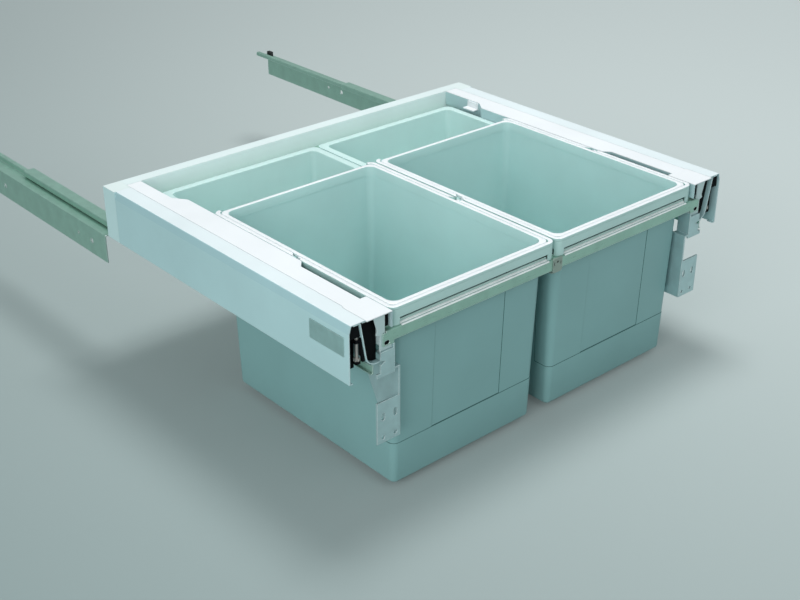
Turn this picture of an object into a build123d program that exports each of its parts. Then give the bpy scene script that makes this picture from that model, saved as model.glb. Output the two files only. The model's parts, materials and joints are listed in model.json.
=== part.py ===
from build123d import *
import os

# Built-in pull-out waste bin: a full-extension drawer frame that carries two main bins and two rear bins.
# Frame: X across the cabinet, 0 in the middle. Y into the cabinet, 0 in the plane of its front edges.
# Z up, 0 at the line of the runner screws. The drawer is drawn pulled out, in millimetres.

# Cabinet and drawer
cabinet_inner_width = 564.0   # between the cabinet's side walls
side_gap = 2.0                # from a drawer side to the cabinet wall
travel = 442.0                # full extension of the runners
closed_front_gap = 1.0        # closed, the sides still stand this far out of the cabinet
screw_line_depth = 82.0       # runner screws below the top of the drawer sides
overlap_clearance = 0.3       # between parts that move past each other
cut_margin = 1.0              # how far a cutter reaches past the piece it cuts
joint_line = 0.4              # visible line between cover parts

# Drawer sides: double wall of folded sheet
side_shortening = 34.0        # shorter than the cabinet rail by this
side_height = 63.0
side_sheet = 1.0
side_bend = 1.4
facet_height = 8.5            # slanted shoulder along the outer top edge
facet_width = 2.4
side_top_width = 21.3
side_step_length = 34.0       # front stretch where the top is narrower
side_step = 1.7
inner_wall_top = 14.4         # inner wall, measured from the outer face
inner_wall_foot = 22.9
inner_wall_flange_end = 38.5
inner_wall_flange_start = 6.0
inner_wall_flange_depth = 50.6
inner_wall_bend = 12.0
inner_wall_top_bend = 1.6
corner_tab_length = 8.0
corner_tab_width = 3.0

# Bare plate on the outer face
name_plate_start = 7.0
name_plate_end = 59.0
name_plate_top = 14.0
name_plate_height = 21.0
name_plate_thickness = 0.5
name_plate_corner = 0.8

# Telescopic runner, three nested channels with balls between their legs
runner_sheet = 1.2
runner_bend = 1.6
drawer_rail_outer = 6.0       # outer leg from the side's outer face
drawer_rail_width = 24.0
drawer_rail_height = 11.0
drawer_rail_start = 1.0
drawer_rail_shortening = 21.0  # shorter than the cabinet rail by this
rail_cutback = 32.0           # front stretch where only the inner leg is left
rail_cutback_web = 3.0
rail_lip = 2.2
ball_diameter = 2.6
ball_clearance = 0.3
ball_drop = 1.6               # drop of each nested channel below the one around it
cage_sheet = 0.8
cage_bend = 1.2
cage_length = 150.0
cage_foot_clearance = 0.3
ball_foot_margin = 0.8        # from a ball down to the cage's foot
front_cage_share = 0.75       # of the drawer's travel, between drawer rail and middle rail
rear_cage_share = 0.25        # between middle rail and cabinet rail
balls_per_row = 4
ball_pitch = 38.0
cabinet_rail_start = 3.0      # behind the cabinet's front edge
cabinet_rail_length = 450.0
middle_rail_shortening = 10.0
middle_rail_setback = 5.0     # behind the cabinet rail's front end when closed
foot_clearance = 0.9          # between the side's lower edge and the rail's foot
screw_flange_height = 34.0
cabinet_screw_radius = 3.15
system_hole_radius = 2.1
first_screw_setback = 37.0    # from the cabinet's front edge
screw_spacing = 224.0
system_pitch = 32.0
stop_length = 10.0
stop_clearance = 0.5
stop_height = 9.0
stop_outset = 1.0             # beyond the drawer rail's outer leg

# Front fixing with its height adjuster, inside the front end of each side
fixing_outer = 2.0
fixing_inner = 12.6
fixing_start = 9.0
fixing_end = 58.0
fixing_top = 8.0
fixing_wall = 1.5
fixing_pocket_end = 40.0
fixing_pocket_bottom = 37.0
adjuster_axis = 13.6
adjuster_axis_setback = 6.0
adjuster_radius = 1.7
adjuster_clearance = 0.05
adjuster_head_radius = 3.2
adjuster_head_height = 3.0
adjuster_flutes = 6
adjuster_flute_radius = 0.7
adjuster_head_bottom = 43.0
adjuster_top = 18.0
ear_thickness = 3.0
ear_half_length = 3.2
ear_root = 2.0                # of an ear inside the housing's wall
ear_reach = 2.2               # of an ear beyond the adjuster's axis
upper_ear_top = 20.5

# Frame rails beside the bins, with the plate that closes their front end
frame_rail_sheet = 1.5
frame_rail_bend = 1.8
frame_rail_start = 17.0
frame_rail_web = 38.5         # inner face of the upright web
frame_rail_depth = 35.5
frame_rail_lip_end = 54.6
front_plane = 2.8             # foremost plane of the fixing brackets, ahead of the sides
end_plate_front = 0.8         # front of the end plate ahead of the sides
end_plate_outer = 29.4
end_plate_step = 43.0         # its upper part ends here
end_plate_inner = 51.8
end_plate_foot = 36.8         # outer edge of its lower part
end_plate_foot_top = 23.0
end_plate_shoulder = 32.4     # corners of the slanted outer edge
end_plate_shoulder_depth = 21.0
end_plate_slant = 33.9
end_plate_slant_depth = 17.0

# Cover strips between the sides and the bins
cover_sheet = 1.0
cover_front = 2.4             # ahead of the sides
cover_inner = 51.3
cover_flange = 17.5
recess_edge = 43.6
recess_start = 36.0
recess_end = 128.0
recess_ramp = 9.0
recess_floor = 4.0            # lower edge of what is left of the flange beside the recess
recess_clearance = 3.0        # the flange is cut away this far outside the recess
rear_narrow_edge = 40.0
jog_setback = 81.0            # ahead of the back panel, where the strip starts to narrow
jog_length = 16.0
jog_radius = 5.5

# Front rail, middle cross rail, rear ledge, centre bar and clip
rail_sheet = 1.2
ledge_depth = 20.0            # bins stand on the ledges this far below the top
front_rail_face = 2.0         # ahead of the sides
front_rail_height = 12.0
front_rail_ledge = 7.4
front_rail_lip = 2.3
front_rail_bend = 1.32
front_rail_lip_bend = 0.33
front_rail_end = 39.5         # from the side's outer face
front_rail_ledge_end = 44.0
front_rail_tab_length = 14.0
front_rail_tab_drop = 3.5
tab_hole_width = 4.4
tab_hole_length = 6.4
tab_hole_inset = 5.0
bin_seat = 6.0                # part of a bin's edge that lies over a cross rail or ledge
rear_bin_ledge_depth = 22.0
channel_bend = 1.56           # of the centre bar and the rear ledge
centre_bar_width = 12.0
centre_bar_top = 21.5
centre_bar_bottom = 34.8
clip_width = 14.0
clip_plate = 1.0
clip_reach = 20.0
clip_chamfer = 2.5
clip_bend = 1.1
clip_slot_spacing = 9.7
clip_slot_height = 4.5
clip_slot_drop = 5.0          # middle of the slots below the ledge
clip_window_radius = 2.1
clip_window_drop = 3.2
clip_slot_width = 1.2

# Back panel and its brackets
panel_thickness = 16.0
panel_gap = 9.0               # from the rear end of the sides to the panel
panel_bracket_sheet = 1.2
bracket_tongue = 20.0
tongue_top_gap = 2.0          # below the side's slanted shoulder
tongue_foot_gap = 4.0         # above the side's lower edge
bracket_overlap = 16.5        # bracket flange over the panel's front face
panel_notch_height = 14.0
panel_notch_end = 33.0
panel_screw_radius = 1.9
panel_screw_clearance = 0.05
panel_screw_head = 3.4
panel_screw_length = 12.0
panel_screw_depth = 14.0
panel_screw_spacing = 24.0
panel_screw_head_height = 1.8

# Brackets for the furniture front
front_bracket_sheet = 2.0
hook_plate_outer = 35.8
hook_plate_inner = 53.8
hook_plate_top = 40.0
hook_plate_bottom = 67.0
hook_mouth_top = 48.8
hook_mouth_middle = 51.0
hook_mouth_bottom = 53.5
hook_mouth_depth = 5.8
hook_foot_outer = 31.4
hook_foot_height = 4.4
hook_strip_length = 16.8
hook_flange_depth = 6.5
hook_flange_inset = 1.5
gusset_inner = 60.4
gusset_top = 62.0
gusset_length = 60.0
gusset_foot = 17.0
gusset_sheet = 1.8
fixing_plate_outer = 31.0
fixing_plate_top = 95.0
fixing_plate_bottom = 142.0
fixing_hole_radius = 2.1
fixing_hole_depth = 136.0
fixing_slot_depth = 112.3
fixing_slot_length = 8.4
fixing_hole_outer = 38.6
fixing_hole_spacing = 15.5

# Main bins
frame_opening_inset = 52.0    # rims start this far inside the outer faces
bin_pair_gap = 2.0
bin_length = 297.0
bin_height = 211.0            # from the rim's deck down to the floor's underside
bin_wall = 1.8
bin_floor = 2.5
bin_draft = 1.75              # degrees
bin_body_inset = 6.8          # body inside the rim's edge
bin_body_corner = 13.0
bin_foot_round = 3.0
rim_corner = 9.0
rim_wall = 2.0
rim_deck = 2.0
ring_height = 3.0             # bag ring and handle above the rim's deck
rim_skirt_depth = 11.0        # skirt's lower edge between the corner feet
rim_foot_length = 15.0
rear_band_start = 152.0       # raised band of the rim that continues the handle, at its outer edge
rear_band_slant = 7.0         # its end slants back by this towards the bin's inside
front_zone_foot = 165.0       # lower edge of the sunk zone on the front
front_zone_reach = 34.0       # how far the zone runs back along the sides, from the rim's edge
front_zone_step = 0.4
front_panel_width = 98.0      # middle panel, stepped in once more

# Bag rings and handles
handle_width = 4.9
ring_gap = 0.4
ring_wall = 0.9
ring_corner = 7.0
ring_lip = 9.0
ring_fit = 0.4                # between the ring's lip and the bin wall
handle_seat_gap = 0.2
pivot_setback = 145.0
pivot_depth = 6.0
pivot_radius = 1.5
pivot_clearance = 0.05
pivot_hollow_radius = 2.8     # round hollow in the rim's skirt around each pin
pivot_hollow_depth = 0.9
pin_seat_clearance = 0.02
ear_sheet = 2.3
ear_radius = 4.0
arm_end_setback = 3.6         # wide part of the arm ends this far before the pivot
arm_end_round = 1.5
ear_slot_front = 5.0
ear_slot_rear = 6.8
ear_slot_clearance = 0.4

# Rear bins
bin_row_gap = 3.0             # between the main bins and the rear bins
small_bin_rear_gap = 18.0     # from the rear bins to the back panel
small_bin_top = 13.0
small_bin_depth = 92.0
small_bin_wall = 1.8
small_bin_corner = 10.0
small_rim_corner = 8.0
small_bin_body_inset = 7.0

# Worked out from the values above
drawer_width = cabinet_inner_width - 2 * side_gap
half_width = drawer_width / 2
front_y = -(travel + closed_front_gap)
top_z = screw_line_depth
bin_width = half_width - frame_opening_inset - bin_pair_gap / 2
bin_centre_x = -(bin_pair_gap / 2 + bin_width / 2)
bin_centre_y = bin_length / 2
side_length = cabinet_rail_length - side_shortening
panel_start = side_length + panel_gap
jog_start = panel_start - jog_setback
small_bin_start = bin_length + bin_row_gap
small_bin_length = panel_start - small_bin_rear_gap - small_bin_start
cross_rail_start = bin_length - bin_seat
cross_rail_end = small_bin_start + bin_seat
rear_ledge_start = small_bin_start + small_bin_length - bin_seat
drawer_rail_length = cabinet_rail_length - drawer_rail_shortening
middle_rail_length = cabinet_rail_length - middle_rail_shortening
ball_radius = ball_diameter / 2
track_gap = ball_diameter + 2 * ball_clearance
rail_bottom = inner_wall_flange_depth + side_sheet + drawer_rail_height
panel_hole_radius = panel_screw_radius + panel_screw_clearance


def x_at(inset):
    """X of a point on the left half, given its inset from the side's outer face."""
    return -half_width + inset


def y_at(setback):
    """Y of a point, given its setback from the front end of the drawer sides."""
    return front_y + setback


def z_at(depth):
    """Z of a point, given its depth below the top of the drawer sides."""
    return top_z - depth


def block(inset_a, inset_b, setback_a, setback_b, depth_a, depth_b):
    """Box between two insets, two setbacks and two depths."""
    centre = ((x_at(inset_a) + x_at(inset_b)) / 2, (y_at(setback_a) + y_at(setback_b)) / 2)
    level = (z_at(depth_a) + z_at(depth_b)) / 2
    size = (abs(inset_b - inset_a), abs(setback_b - setback_a), abs(depth_b - depth_a))
    return Pos(centre[0], centre[1], level) * Box(*size)


def bent_sheet(points, thickness, bends, side=Side.RIGHT):
    """Section of a folded sheet: the path of one face, bent at its corners, and the thickness beside it."""
    path = FilletPolyline(*points, radius=bends)
    return make_face(offset(path, amount=thickness, side=side).edges())


def along_y(section, setback_a, setback_b):
    """Extrude a section drawn in X and Z between two setbacks."""
    return extrude(Plane.XZ.offset(-y_at(setback_b)) * section, amount=setback_b - setback_a)


def along_x(section, inset_a, inset_b):
    """Extrude a section drawn in Y and Z between two insets."""
    return extrude(Plane.YZ.offset(x_at(inset_a)) * section, amount=inset_b - inset_a)


def section_points(pairs):
    """Points in X and Z from pairs of inset and depth."""
    return [(x_at(inset), z_at(depth)) for inset, depth in pairs]


def profile_points(pairs):
    """Points in Y and Z from pairs of setback and depth."""
    return [(y_at(setback), z_at(depth)) for setback, depth in pairs]


def mirrored(shape):
    """The right-hand copy of a left-hand piece."""
    return mirror(shape, about=Plane.YZ)


def side_profile():
    """Outer wall and top of a drawer side, folded from one sheet, with its slanted shoulder."""
    path = [(0, side_height), (0, facet_height), (facet_width, 0), (side_top_width, 0)]
    section = bent_sheet(section_points(path), side_sheet, side_bend)
    profile = along_y(section, 0, side_length)
    step_start = side_top_width - side_step
    profile -= block(step_start, side_top_width + cut_margin, -cut_margin, side_step_length,
                     -cut_margin, side_sheet + cut_margin)
    tab = block(side_sheet, side_sheet + corner_tab_width, 0, corner_tab_length,
                side_height - side_sheet, side_height)
    return profile + tab


def inner_wall():
    """Inner wall of a drawer side: hung under the top, leaning inwards and turned out into a flange."""
    path = [(inner_wall_flange_start, side_sheet), (inner_wall_top, side_sheet),
            (inner_wall_foot, inner_wall_flange_depth), (inner_wall_flange_end, inner_wall_flange_depth)]
    section = bent_sheet(section_points(path), side_sheet, [inner_wall_top_bend, inner_wall_bend])
    return along_y(section, 0, side_length)


def name_plate():
    """Bare plate that clips onto the outer face near the front."""
    section = RectangleRounded(name_plate_end - name_plate_start, name_plate_height, name_plate_corner)
    centre_y = y_at((name_plate_start + name_plate_end) / 2)
    centre_z = z_at(name_plate_top + name_plate_height / 2)
    plane = Plane(origin=(x_at(0), centre_y, centre_z), x_dir=(0, 1, 0), z_dir=(-1, 0, 0))
    return extrude(plane * section, amount=name_plate_thickness)


def channel_section(outer, width, top, bottom, lip):
    """Inverted channel with lips turned in under the balls, from inset, width and depths."""
    path = [(outer + runner_sheet + lip, bottom), (outer, bottom), (outer, top), (outer + width, top),
            (outer + width, bottom), (outer + width - runner_sheet - lip, bottom)]
    return bent_sheet(section_points(path), runner_sheet, runner_bend)


def drawer_rail():
    """Outermost channel of the runner, fixed under the drawer side."""
    top = rail_bottom - drawer_rail_height
    section = channel_section(drawer_rail_outer, drawer_rail_width, top, rail_bottom, rail_lip)
    rail = along_y(section, drawer_rail_start, drawer_rail_start + drawer_rail_length)
    inner = drawer_rail_outer + drawer_rail_width
    return rail - block(drawer_rail_outer - cut_margin, inner - rail_cutback_web, 0, rail_cutback,
                        top - cut_margin, rail_bottom + cut_margin)


def middle_rail_box():
    """Outer inset, width and top depth of the middle channel."""
    outer = drawer_rail_outer + runner_sheet + track_gap
    width = drawer_rail_width - 2 * (runner_sheet + track_gap)
    top = rail_bottom - drawer_rail_height + runner_sheet + ball_drop
    return outer, width, top


def middle_rail():
    """Middle channel of the runner, drawn halfway along its travel."""
    outer, width, top = middle_rail_box()
    section = channel_section(outer, width, top, rail_bottom, rail_lip)
    start = cabinet_rail_start + middle_rail_setback - travel / 2 - front_y
    return along_y(section, start, start + middle_rail_length)


def cabinet_rail():
    """Innermost member: an upright fold that carries the balls, its foot and the screw flange."""
    middle_outer, middle_width, middle_top = middle_rail_box()
    outer = middle_outer + runner_sheet + track_gap
    width = middle_width - 2 * (runner_sheet + track_gap)
    top = middle_top + runner_sheet + ball_drop
    foot = side_height + foot_clearance
    path = [(outer + width, rail_bottom), (outer + width, top), (outer, top), (outer, foot),
            (-side_gap, foot), (-side_gap, foot + runner_sheet + screw_flange_height)]
    section = bent_sheet(section_points(path), runner_sheet, runner_bend, Side.LEFT)
    start = cabinet_rail_start - front_y
    rail = along_y(section, start, start + cabinet_rail_length)
    for shift, radius in ((0, cabinet_screw_radius), (system_pitch, system_hole_radius)):
        for step in (0, 1):
            hole_y = first_screw_setback + shift + step * screw_spacing
            hole = Cylinder(radius, 4 * runner_sheet, rotation=(0, 90, 0))
            rail -= Pos(x_at(-side_gap + runner_sheet / 2), hole_y, 0) * hole
    return rail


def closing_stop():
    """Rubber stop on the cabinet rail's foot, which meets the drawer rail's outer leg when closed."""
    foot = side_height + foot_clearance
    start = drawer_rail_start + drawer_rail_length + travel + stop_clearance
    outer = drawer_rail_outer - stop_outset
    inner = middle_rail_box()[0] - stop_clearance
    return block(outer, inner, start, start + stop_length, foot - stop_height, foot)


def cage_section(outer, width, top):
    """Thin inverted channel that spaces the balls."""
    bottom = rail_bottom - runner_sheet - cage_foot_clearance
    path = [(outer, bottom), (outer, top), (outer + width, top), (outer + width, bottom)]
    return bent_sheet(section_points(path), cage_sheet, cage_bend)


def ball_spots(cage_middle):
    """Setbacks of the balls in one row."""
    first = cage_middle - ball_pitch * (balls_per_row - 1) / 2
    return [first + ball_pitch * index for index in range(balls_per_row)]


def cage_and_balls(track_outer, track_width, gap_top, share):
    """Ball cage and its balls between two nested channels. share is the part of the travel it follows."""
    outer = track_outer + (track_gap - cage_sheet) / 2
    width = track_width - (track_gap - cage_sheet)
    cage_top = gap_top + (ball_drop - cage_sheet) / 2
    middle = cabinet_rail_start + cabinet_rail_length / 2 - share * travel - front_y
    cage = along_y(cage_section(outer, width, cage_top), middle - cage_length / 2, middle + cage_length / 2)
    ball_depth = rail_bottom - runner_sheet - cage_foot_clearance - ball_foot_margin - ball_radius
    rows = (track_outer + track_gap / 2, track_outer + track_width - track_gap / 2)
    balls = []
    for spot in ball_spots(middle):
        for inset in rows:
            centre = Pos(x_at(inset), y_at(spot), z_at(ball_depth))
            window = Cylinder(ball_radius + ball_clearance / 2, 2 * cage_sheet, rotation=(0, 90, 0))
            cage -= centre * window
            balls.append(centre * Sphere(ball_radius))
    return cage, Compound(children=balls)


def front_cage():
    """Cage and balls between the drawer rail and the middle rail."""
    gap_top = rail_bottom - drawer_rail_height + runner_sheet
    outer = drawer_rail_outer + runner_sheet
    width = drawer_rail_width - 2 * runner_sheet
    return cage_and_balls(outer, width, gap_top, front_cage_share)


def rear_cage():
    """Cage and balls between the middle rail and the cabinet rail."""
    middle_outer, middle_width, middle_top = middle_rail_box()
    outer = middle_outer + runner_sheet
    width = middle_width - 2 * runner_sheet
    return cage_and_balls(outer, width, middle_top + runner_sheet, rear_cage_share)


def front_fixing():
    """Cast housing in the front end of a side, open to the front, with two ears for the adjuster."""
    bottom = rail_bottom - drawer_rail_height
    body = block(fixing_outer, fixing_inner, fixing_start, fixing_end, fixing_top, bottom)
    body -= block(fixing_outer + fixing_wall, fixing_inner - fixing_wall, fixing_start - cut_margin,
                  fixing_pocket_end, fixing_top + fixing_wall, fixing_pocket_bottom)
    ear_front = adjuster_axis_setback - ear_half_length
    for ear_top in (upper_ear_top, adjuster_head_bottom):
        body += block(fixing_inner - ear_root, adjuster_axis + ear_reach, ear_front, fixing_start + ear_root,
                      ear_top, ear_top + ear_thickness)
    bore = Cylinder(adjuster_radius + adjuster_clearance, 2 * side_height)
    return body - Pos(x_at(adjuster_axis), y_at(adjuster_axis_setback), z_at(side_height / 2)) * bore


def adjuster():
    """Height adjuster: an upright spindle with a fluted head that stands on the lower ear."""
    length = adjuster_head_bottom + ear_thickness - adjuster_top
    upright = (Align.CENTER, Align.CENTER, Align.MIN)
    spindle = Pos(0, 0, -length) * Cylinder(adjuster_radius, length, align=upright)
    head_level = adjuster_top - adjuster_head_bottom
    head = Pos(0, 0, head_level) * Cylinder(adjuster_head_radius, adjuster_head_height, align=upright)
    flute = Cylinder(adjuster_flute_radius, 3 * length)
    head -= PolarLocations(adjuster_head_radius, adjuster_flutes) * flute
    return Pos(x_at(adjuster_axis), y_at(adjuster_axis_setback), z_at(adjuster_top)) * (spindle + head)


def frame_rail():
    """Folded rail under the cover strip, with a lip for the cross rails and a plate across its front."""
    lip_top = frame_rail_depth - frame_rail_sheet
    path = [(frame_rail_start, cover_sheet), (frame_rail_web, cover_sheet),
            (frame_rail_web, lip_top), (frame_rail_lip_end, lip_top)]
    section = bent_sheet(section_points(path), frame_rail_sheet, frame_rail_bend)
    plate_back = frame_rail_sheet - end_plate_front
    rail = along_y(section, plate_back, panel_start - panel_bracket_sheet)
    shelf = ledge_depth + rail_sheet + overlap_clearance
    foot = hook_plate_top - overlap_clearance
    outline = [(end_plate_outer, cover_sheet), (end_plate_step, cover_sheet), (end_plate_step, shelf),
               (end_plate_inner, shelf), (end_plate_inner, foot), (end_plate_foot, foot),
               (end_plate_foot, end_plate_foot_top), (end_plate_shoulder, end_plate_shoulder_depth),
               (end_plate_slant, end_plate_slant_depth)]
    face = make_face(Polyline(*section_points(outline), close=True).edges())
    return rail + along_y(face, -end_plate_front, plate_back)


def cover_strip():
    """Cover between side and bins: flat top with a finger recess, turned down along its inner edge."""
    outer_front = side_top_width - side_step + joint_line
    outer = side_top_width + joint_line
    end = panel_start - joint_line
    plan = [(outer_front, -cover_front), (outer_front, side_step_length), (outer, side_step_length),
            (outer, end), (rear_narrow_edge, end), (rear_narrow_edge, jog_start + jog_length),
            (cover_inner, jog_start), (cover_inner, recess_end + recess_ramp), (recess_edge, recess_end),
            (recess_edge, recess_start), (cover_inner, recess_start), (cover_inner, -cover_front)]
    face = make_face(Polyline(*[(x_at(inset), y_at(setback)) for inset, setback in plan], close=True).edges())
    jog_from = y_at(jog_start - cut_margin)
    jog_to = y_at(jog_start + jog_length + cut_margin)
    face = fillet([vertex for vertex in face.vertices() if jog_from < vertex.Y < jog_to], jog_radius)
    lower = offset(face, amount=-cover_sheet)
    strip = extrude(Plane.XY.offset(z_at(0)) * face, amount=-cover_flange)
    strip -= extrude(Plane.XY.offset(z_at(cover_sheet)) * lower, amount=-cover_flange)
    foot = cover_flange + cut_margin
    front = -cover_front - cut_margin
    strip -= block(outer_front - cut_margin, outer + cover_sheet + cut_margin, front, end + cut_margin,
                   cover_sheet, foot)
    strip -= block(outer, cover_inner - cover_sheet, front, -cover_front + cover_sheet, cover_sheet, foot)
    strip -= block(outer, rear_narrow_edge - cover_sheet, end - cover_sheet, end + cut_margin,
                   cover_sheet, foot)
    strip -= block(recess_edge - recess_clearance, cover_inner + cut_margin, recess_start - cover_sheet,
                   recess_end + recess_ramp, recess_floor, foot)
    return strip


def front_rail():
    """Folded rail across the front: face, ledge for the bins' feet and a low upstand behind it."""
    back = front_rail_ledge - front_rail_face
    path = [(-front_rail_face, ledge_depth + front_rail_height), (-front_rail_face, ledge_depth),
            (back, ledge_depth), (back, ledge_depth - front_rail_lip)]
    straight = bent_sheet(profile_points(path), rail_sheet, [front_rail_bend, front_rail_lip_bend])
    rail = along_x(straight, front_rail_ledge_end, half_width)
    face_end = block(front_rail_end, front_rail_ledge_end, -front_rail_face, -front_rail_face + rail_sheet,
                     ledge_depth + front_rail_bend, ledge_depth + front_rail_height)
    tab = block(front_rail_end, front_rail_end + front_rail_tab_length, -front_rail_face,
                -front_rail_face + rail_sheet, ledge_depth + front_rail_height,
                ledge_depth + front_rail_height + front_rail_tab_drop)
    hole = extrude(SlotOverall(tab_hole_length, tab_hole_width), amount=4 * rail_sheet, both=True)
    hole = Pos(x_at(front_rail_end + tab_hole_inset), y_at(0), z_at(ledge_depth + front_rail_height)) \
        * Rot(90, 0, 0) * hole
    half = rail + face_end + tab - hole
    return half + mirrored(half)


def middle_cross_rail():
    """Hat-shaped rail under the facing edges of the main bins and the rear bins."""
    end = cross_rail_end
    step = bin_length + bin_row_gap / 2
    bottom = frame_rail_depth - frame_rail_sheet
    outline = [(cross_rail_start, bottom), (cross_rail_start, ledge_depth), (step, ledge_depth),
               (step, rear_bin_ledge_depth), (end, rear_bin_ledge_depth), (end, bottom)]
    section = make_face(offset(Polyline(*profile_points(outline)), amount=rail_sheet, side=Side.RIGHT,
                               kind=Kind.INTERSECTION).edges())
    half = along_x(section, frame_rail_web + frame_rail_bend + overlap_clearance, half_width)
    return half + mirrored(half)


def rear_ledge():
    """Angle on the back panel's face that carries the rear edges of the rear bins."""
    outline = [(panel_start, frame_rail_depth - frame_rail_sheet), (panel_start, rear_bin_ledge_depth),
               (rear_ledge_start, rear_bin_ledge_depth)]
    section = bent_sheet(profile_points(outline), rail_sheet, channel_bend, Side.LEFT)
    half = along_x(section, frame_rail_web + frame_rail_bend + overlap_clearance, half_width)
    return half + mirrored(half)


def centre_bar():
    """Inverted channel between the two main bins, from the front rail to the cross rail."""
    half = centre_bar_width / 2
    path = [(half_width - half, centre_bar_bottom), (half_width - half, centre_bar_top),
            (half_width + half, centre_bar_top), (half_width + half, centre_bar_bottom)]
    section = bent_sheet(section_points(path), rail_sheet, channel_bend)
    return along_y(section, rail_sheet - front_rail_face, cross_rail_start)


def centre_clip():
    """Clip that hooks the centre bar to the front rail, with two slots and a small window."""
    front = -front_rail_face - clip_plate
    top = ledge_depth - clip_plate
    bottom = centre_bar_bottom + clip_plate
    path = [(-joint_line, top), (front, top), (front, bottom), (clip_reach, bottom)]
    section = bent_sheet(profile_points(path), clip_plate, clip_bend, Side.LEFT)
    clip = along_x(section, half_width - clip_width / 2, half_width + clip_width / 2)
    plate_middle = Pos(0, y_at(-front_rail_face - clip_plate / 2), 0)
    for side in (-1, 1):
        slot = Box(clip_slot_width, 2 * clip_plate, clip_slot_height)
        clip -= plate_middle * Pos(side * clip_slot_spacing / 2, 0, z_at(ledge_depth + clip_slot_drop)) * slot
        corner_edge = clip_chamfer * 2 ** 0.5
        corner = Rot(0, 45, 0) * Box(corner_edge, 2 * clip_plate, corner_edge)
        clip -= plate_middle * Pos(side * clip_width / 2, 0, z_at(bottom)) * corner
    window = extrude(Plane.XZ * RegularPolygon(clip_window_radius, 3), amount=clip_plate, both=True)
    return clip - plate_middle * Pos(0, 0, z_at(ledge_depth + clip_window_drop)) * Rot(0, -90, 0) * window


def back_panel():
    """Board across the back of the drawer, notched at its lower corners for the runners."""
    outer = side_top_width
    half = block(outer, half_width, panel_start, panel_start + panel_thickness, 0, side_height)
    half -= block(outer - cut_margin, panel_notch_end, panel_start - cut_margin,
                  panel_start + panel_thickness + cut_margin, side_height - panel_notch_height,
                  side_height + cut_margin)
    for level in (panel_screw_depth, panel_screw_depth + panel_screw_spacing):
        hole = Cylinder(panel_hole_radius, 2 * panel_screw_length, rotation=(90, 0, 0))
        half -= Pos(x_at(side_top_width + bracket_overlap / 2), y_at(panel_start), z_at(level)) * hole
    return half + mirrored(half)


def rear_bracket():
    """Steel corner between a side and the back panel, with a tongue that plugs into the side."""
    end = panel_start + panel_thickness
    wall = side_sheet + panel_bracket_sheet
    outer = block(0, wall, side_length, end, 0, side_height)
    tongue = block(side_sheet, wall, side_length - bracket_tongue, side_length,
                   facet_height + tongue_top_gap, side_height - tongue_foot_gap)
    top = block(0, side_top_width, side_length, end, 0, side_sheet)
    flange_bottom = side_height - panel_notch_height
    flange = block(wall, side_top_width + bracket_overlap, panel_start - panel_bracket_sheet, panel_start,
                   cover_sheet, flange_bottom)
    bracket = outer + tongue + top + flange
    for level in (panel_screw_depth, panel_screw_depth + panel_screw_spacing):
        hole = Cylinder(panel_hole_radius, 4 * panel_bracket_sheet, rotation=(90, 0, 0))
        bracket -= Pos(x_at(side_top_width + bracket_overlap / 2), y_at(panel_start), z_at(level)) * hole
    return bracket


def back_panel_screws():
    """Four pan-head screws through the bracket flanges into the back panel."""
    screws = []
    for level in (panel_screw_depth, panel_screw_depth + panel_screw_spacing):
        head_front = panel_start - panel_bracket_sheet
        seat = Pos(x_at(side_top_width + bracket_overlap / 2), y_at(head_front), z_at(level))
        shank = Rot(90, 0, 0) * Cylinder(panel_screw_radius, panel_screw_length,
                                         align=(Align.CENTER, Align.CENTER, Align.MAX))
        head = Rot(90, 0, 0) * Cylinder(panel_screw_head, panel_screw_head_height,
                                        align=(Align.CENTER, Align.CENTER, Align.MIN))
        screw = seat * (shank + head)
        screws.append(screw)
        screws.append(mirrored(screw))
    return Compound(children=screws)


def front_bracket():
    """Bracket for the furniture front: hook plate, side plate that tapers down, plate with four holes."""
    back = front_plane - front_bracket_sheet
    outline = [(hook_plate_outer, hook_plate_top), (hook_plate_inner, hook_plate_top),
               (hook_plate_inner, hook_plate_bottom), (hook_foot_outer, hook_plate_bottom),
               (hook_foot_outer, hook_plate_bottom - hook_foot_height),
               (hook_plate_outer, hook_plate_bottom - hook_foot_height), (hook_plate_outer, hook_mouth_bottom),
               (hook_plate_outer + hook_mouth_depth, hook_mouth_middle), (hook_plate_outer, hook_mouth_top)]
    face = make_face(Polyline(*section_points(outline), close=True).edges())
    hook = along_y(face, -front_plane, -back)
    hook += block(hook_plate_outer + hook_flange_inset, hook_plate_inner, -back,
                  hook_flange_depth - front_plane, hook_plate_top, hook_plate_top + front_bracket_sheet)
    strip_outer = hook_plate_inner - gusset_sheet
    strip = block(strip_outer, hook_plate_inner, -front_plane, hook_strip_length - front_plane,
                  frame_rail_depth, gusset_top)
    ledge = block(strip_outer, gusset_inner, -front_plane, hook_strip_length - front_plane,
                  gusset_top, gusset_top + gusset_sheet)
    outline = [(-front_plane, gusset_top), (gusset_length, gusset_top), (gusset_foot, fixing_plate_bottom),
               (-front_plane, fixing_plate_bottom)]
    face = make_face(Polyline(*profile_points(outline), close=True).edges())
    gusset = along_x(face, gusset_inner - gusset_sheet, gusset_inner)
    plate = block(fixing_plate_outer, gusset_inner, -front_plane, -back,
                  fixing_plate_top, fixing_plate_bottom)
    bracket = hook + strip + ledge + gusset + plate
    for index in (0, 1):
        inset = fixing_hole_outer + index * fixing_hole_spacing
        centre = Pos(x_at(inset), y_at(-front_plane + front_bracket_sheet / 2), 0)
        hole = Cylinder(fixing_hole_radius, 3 * front_bracket_sheet, rotation=(90, 0, 0))
        slot = extrude(SlotOverall(fixing_slot_length, 2 * fixing_hole_radius, rotation=90),
                       amount=2 * front_bracket_sheet, both=True)
        bracket -= centre * Pos(0, 0, z_at(fixing_hole_depth)) * hole
        bracket -= centre * Pos(0, 0, z_at(fixing_slot_depth)) * Rot(90, 0, 0) * slot
    return bracket


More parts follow.
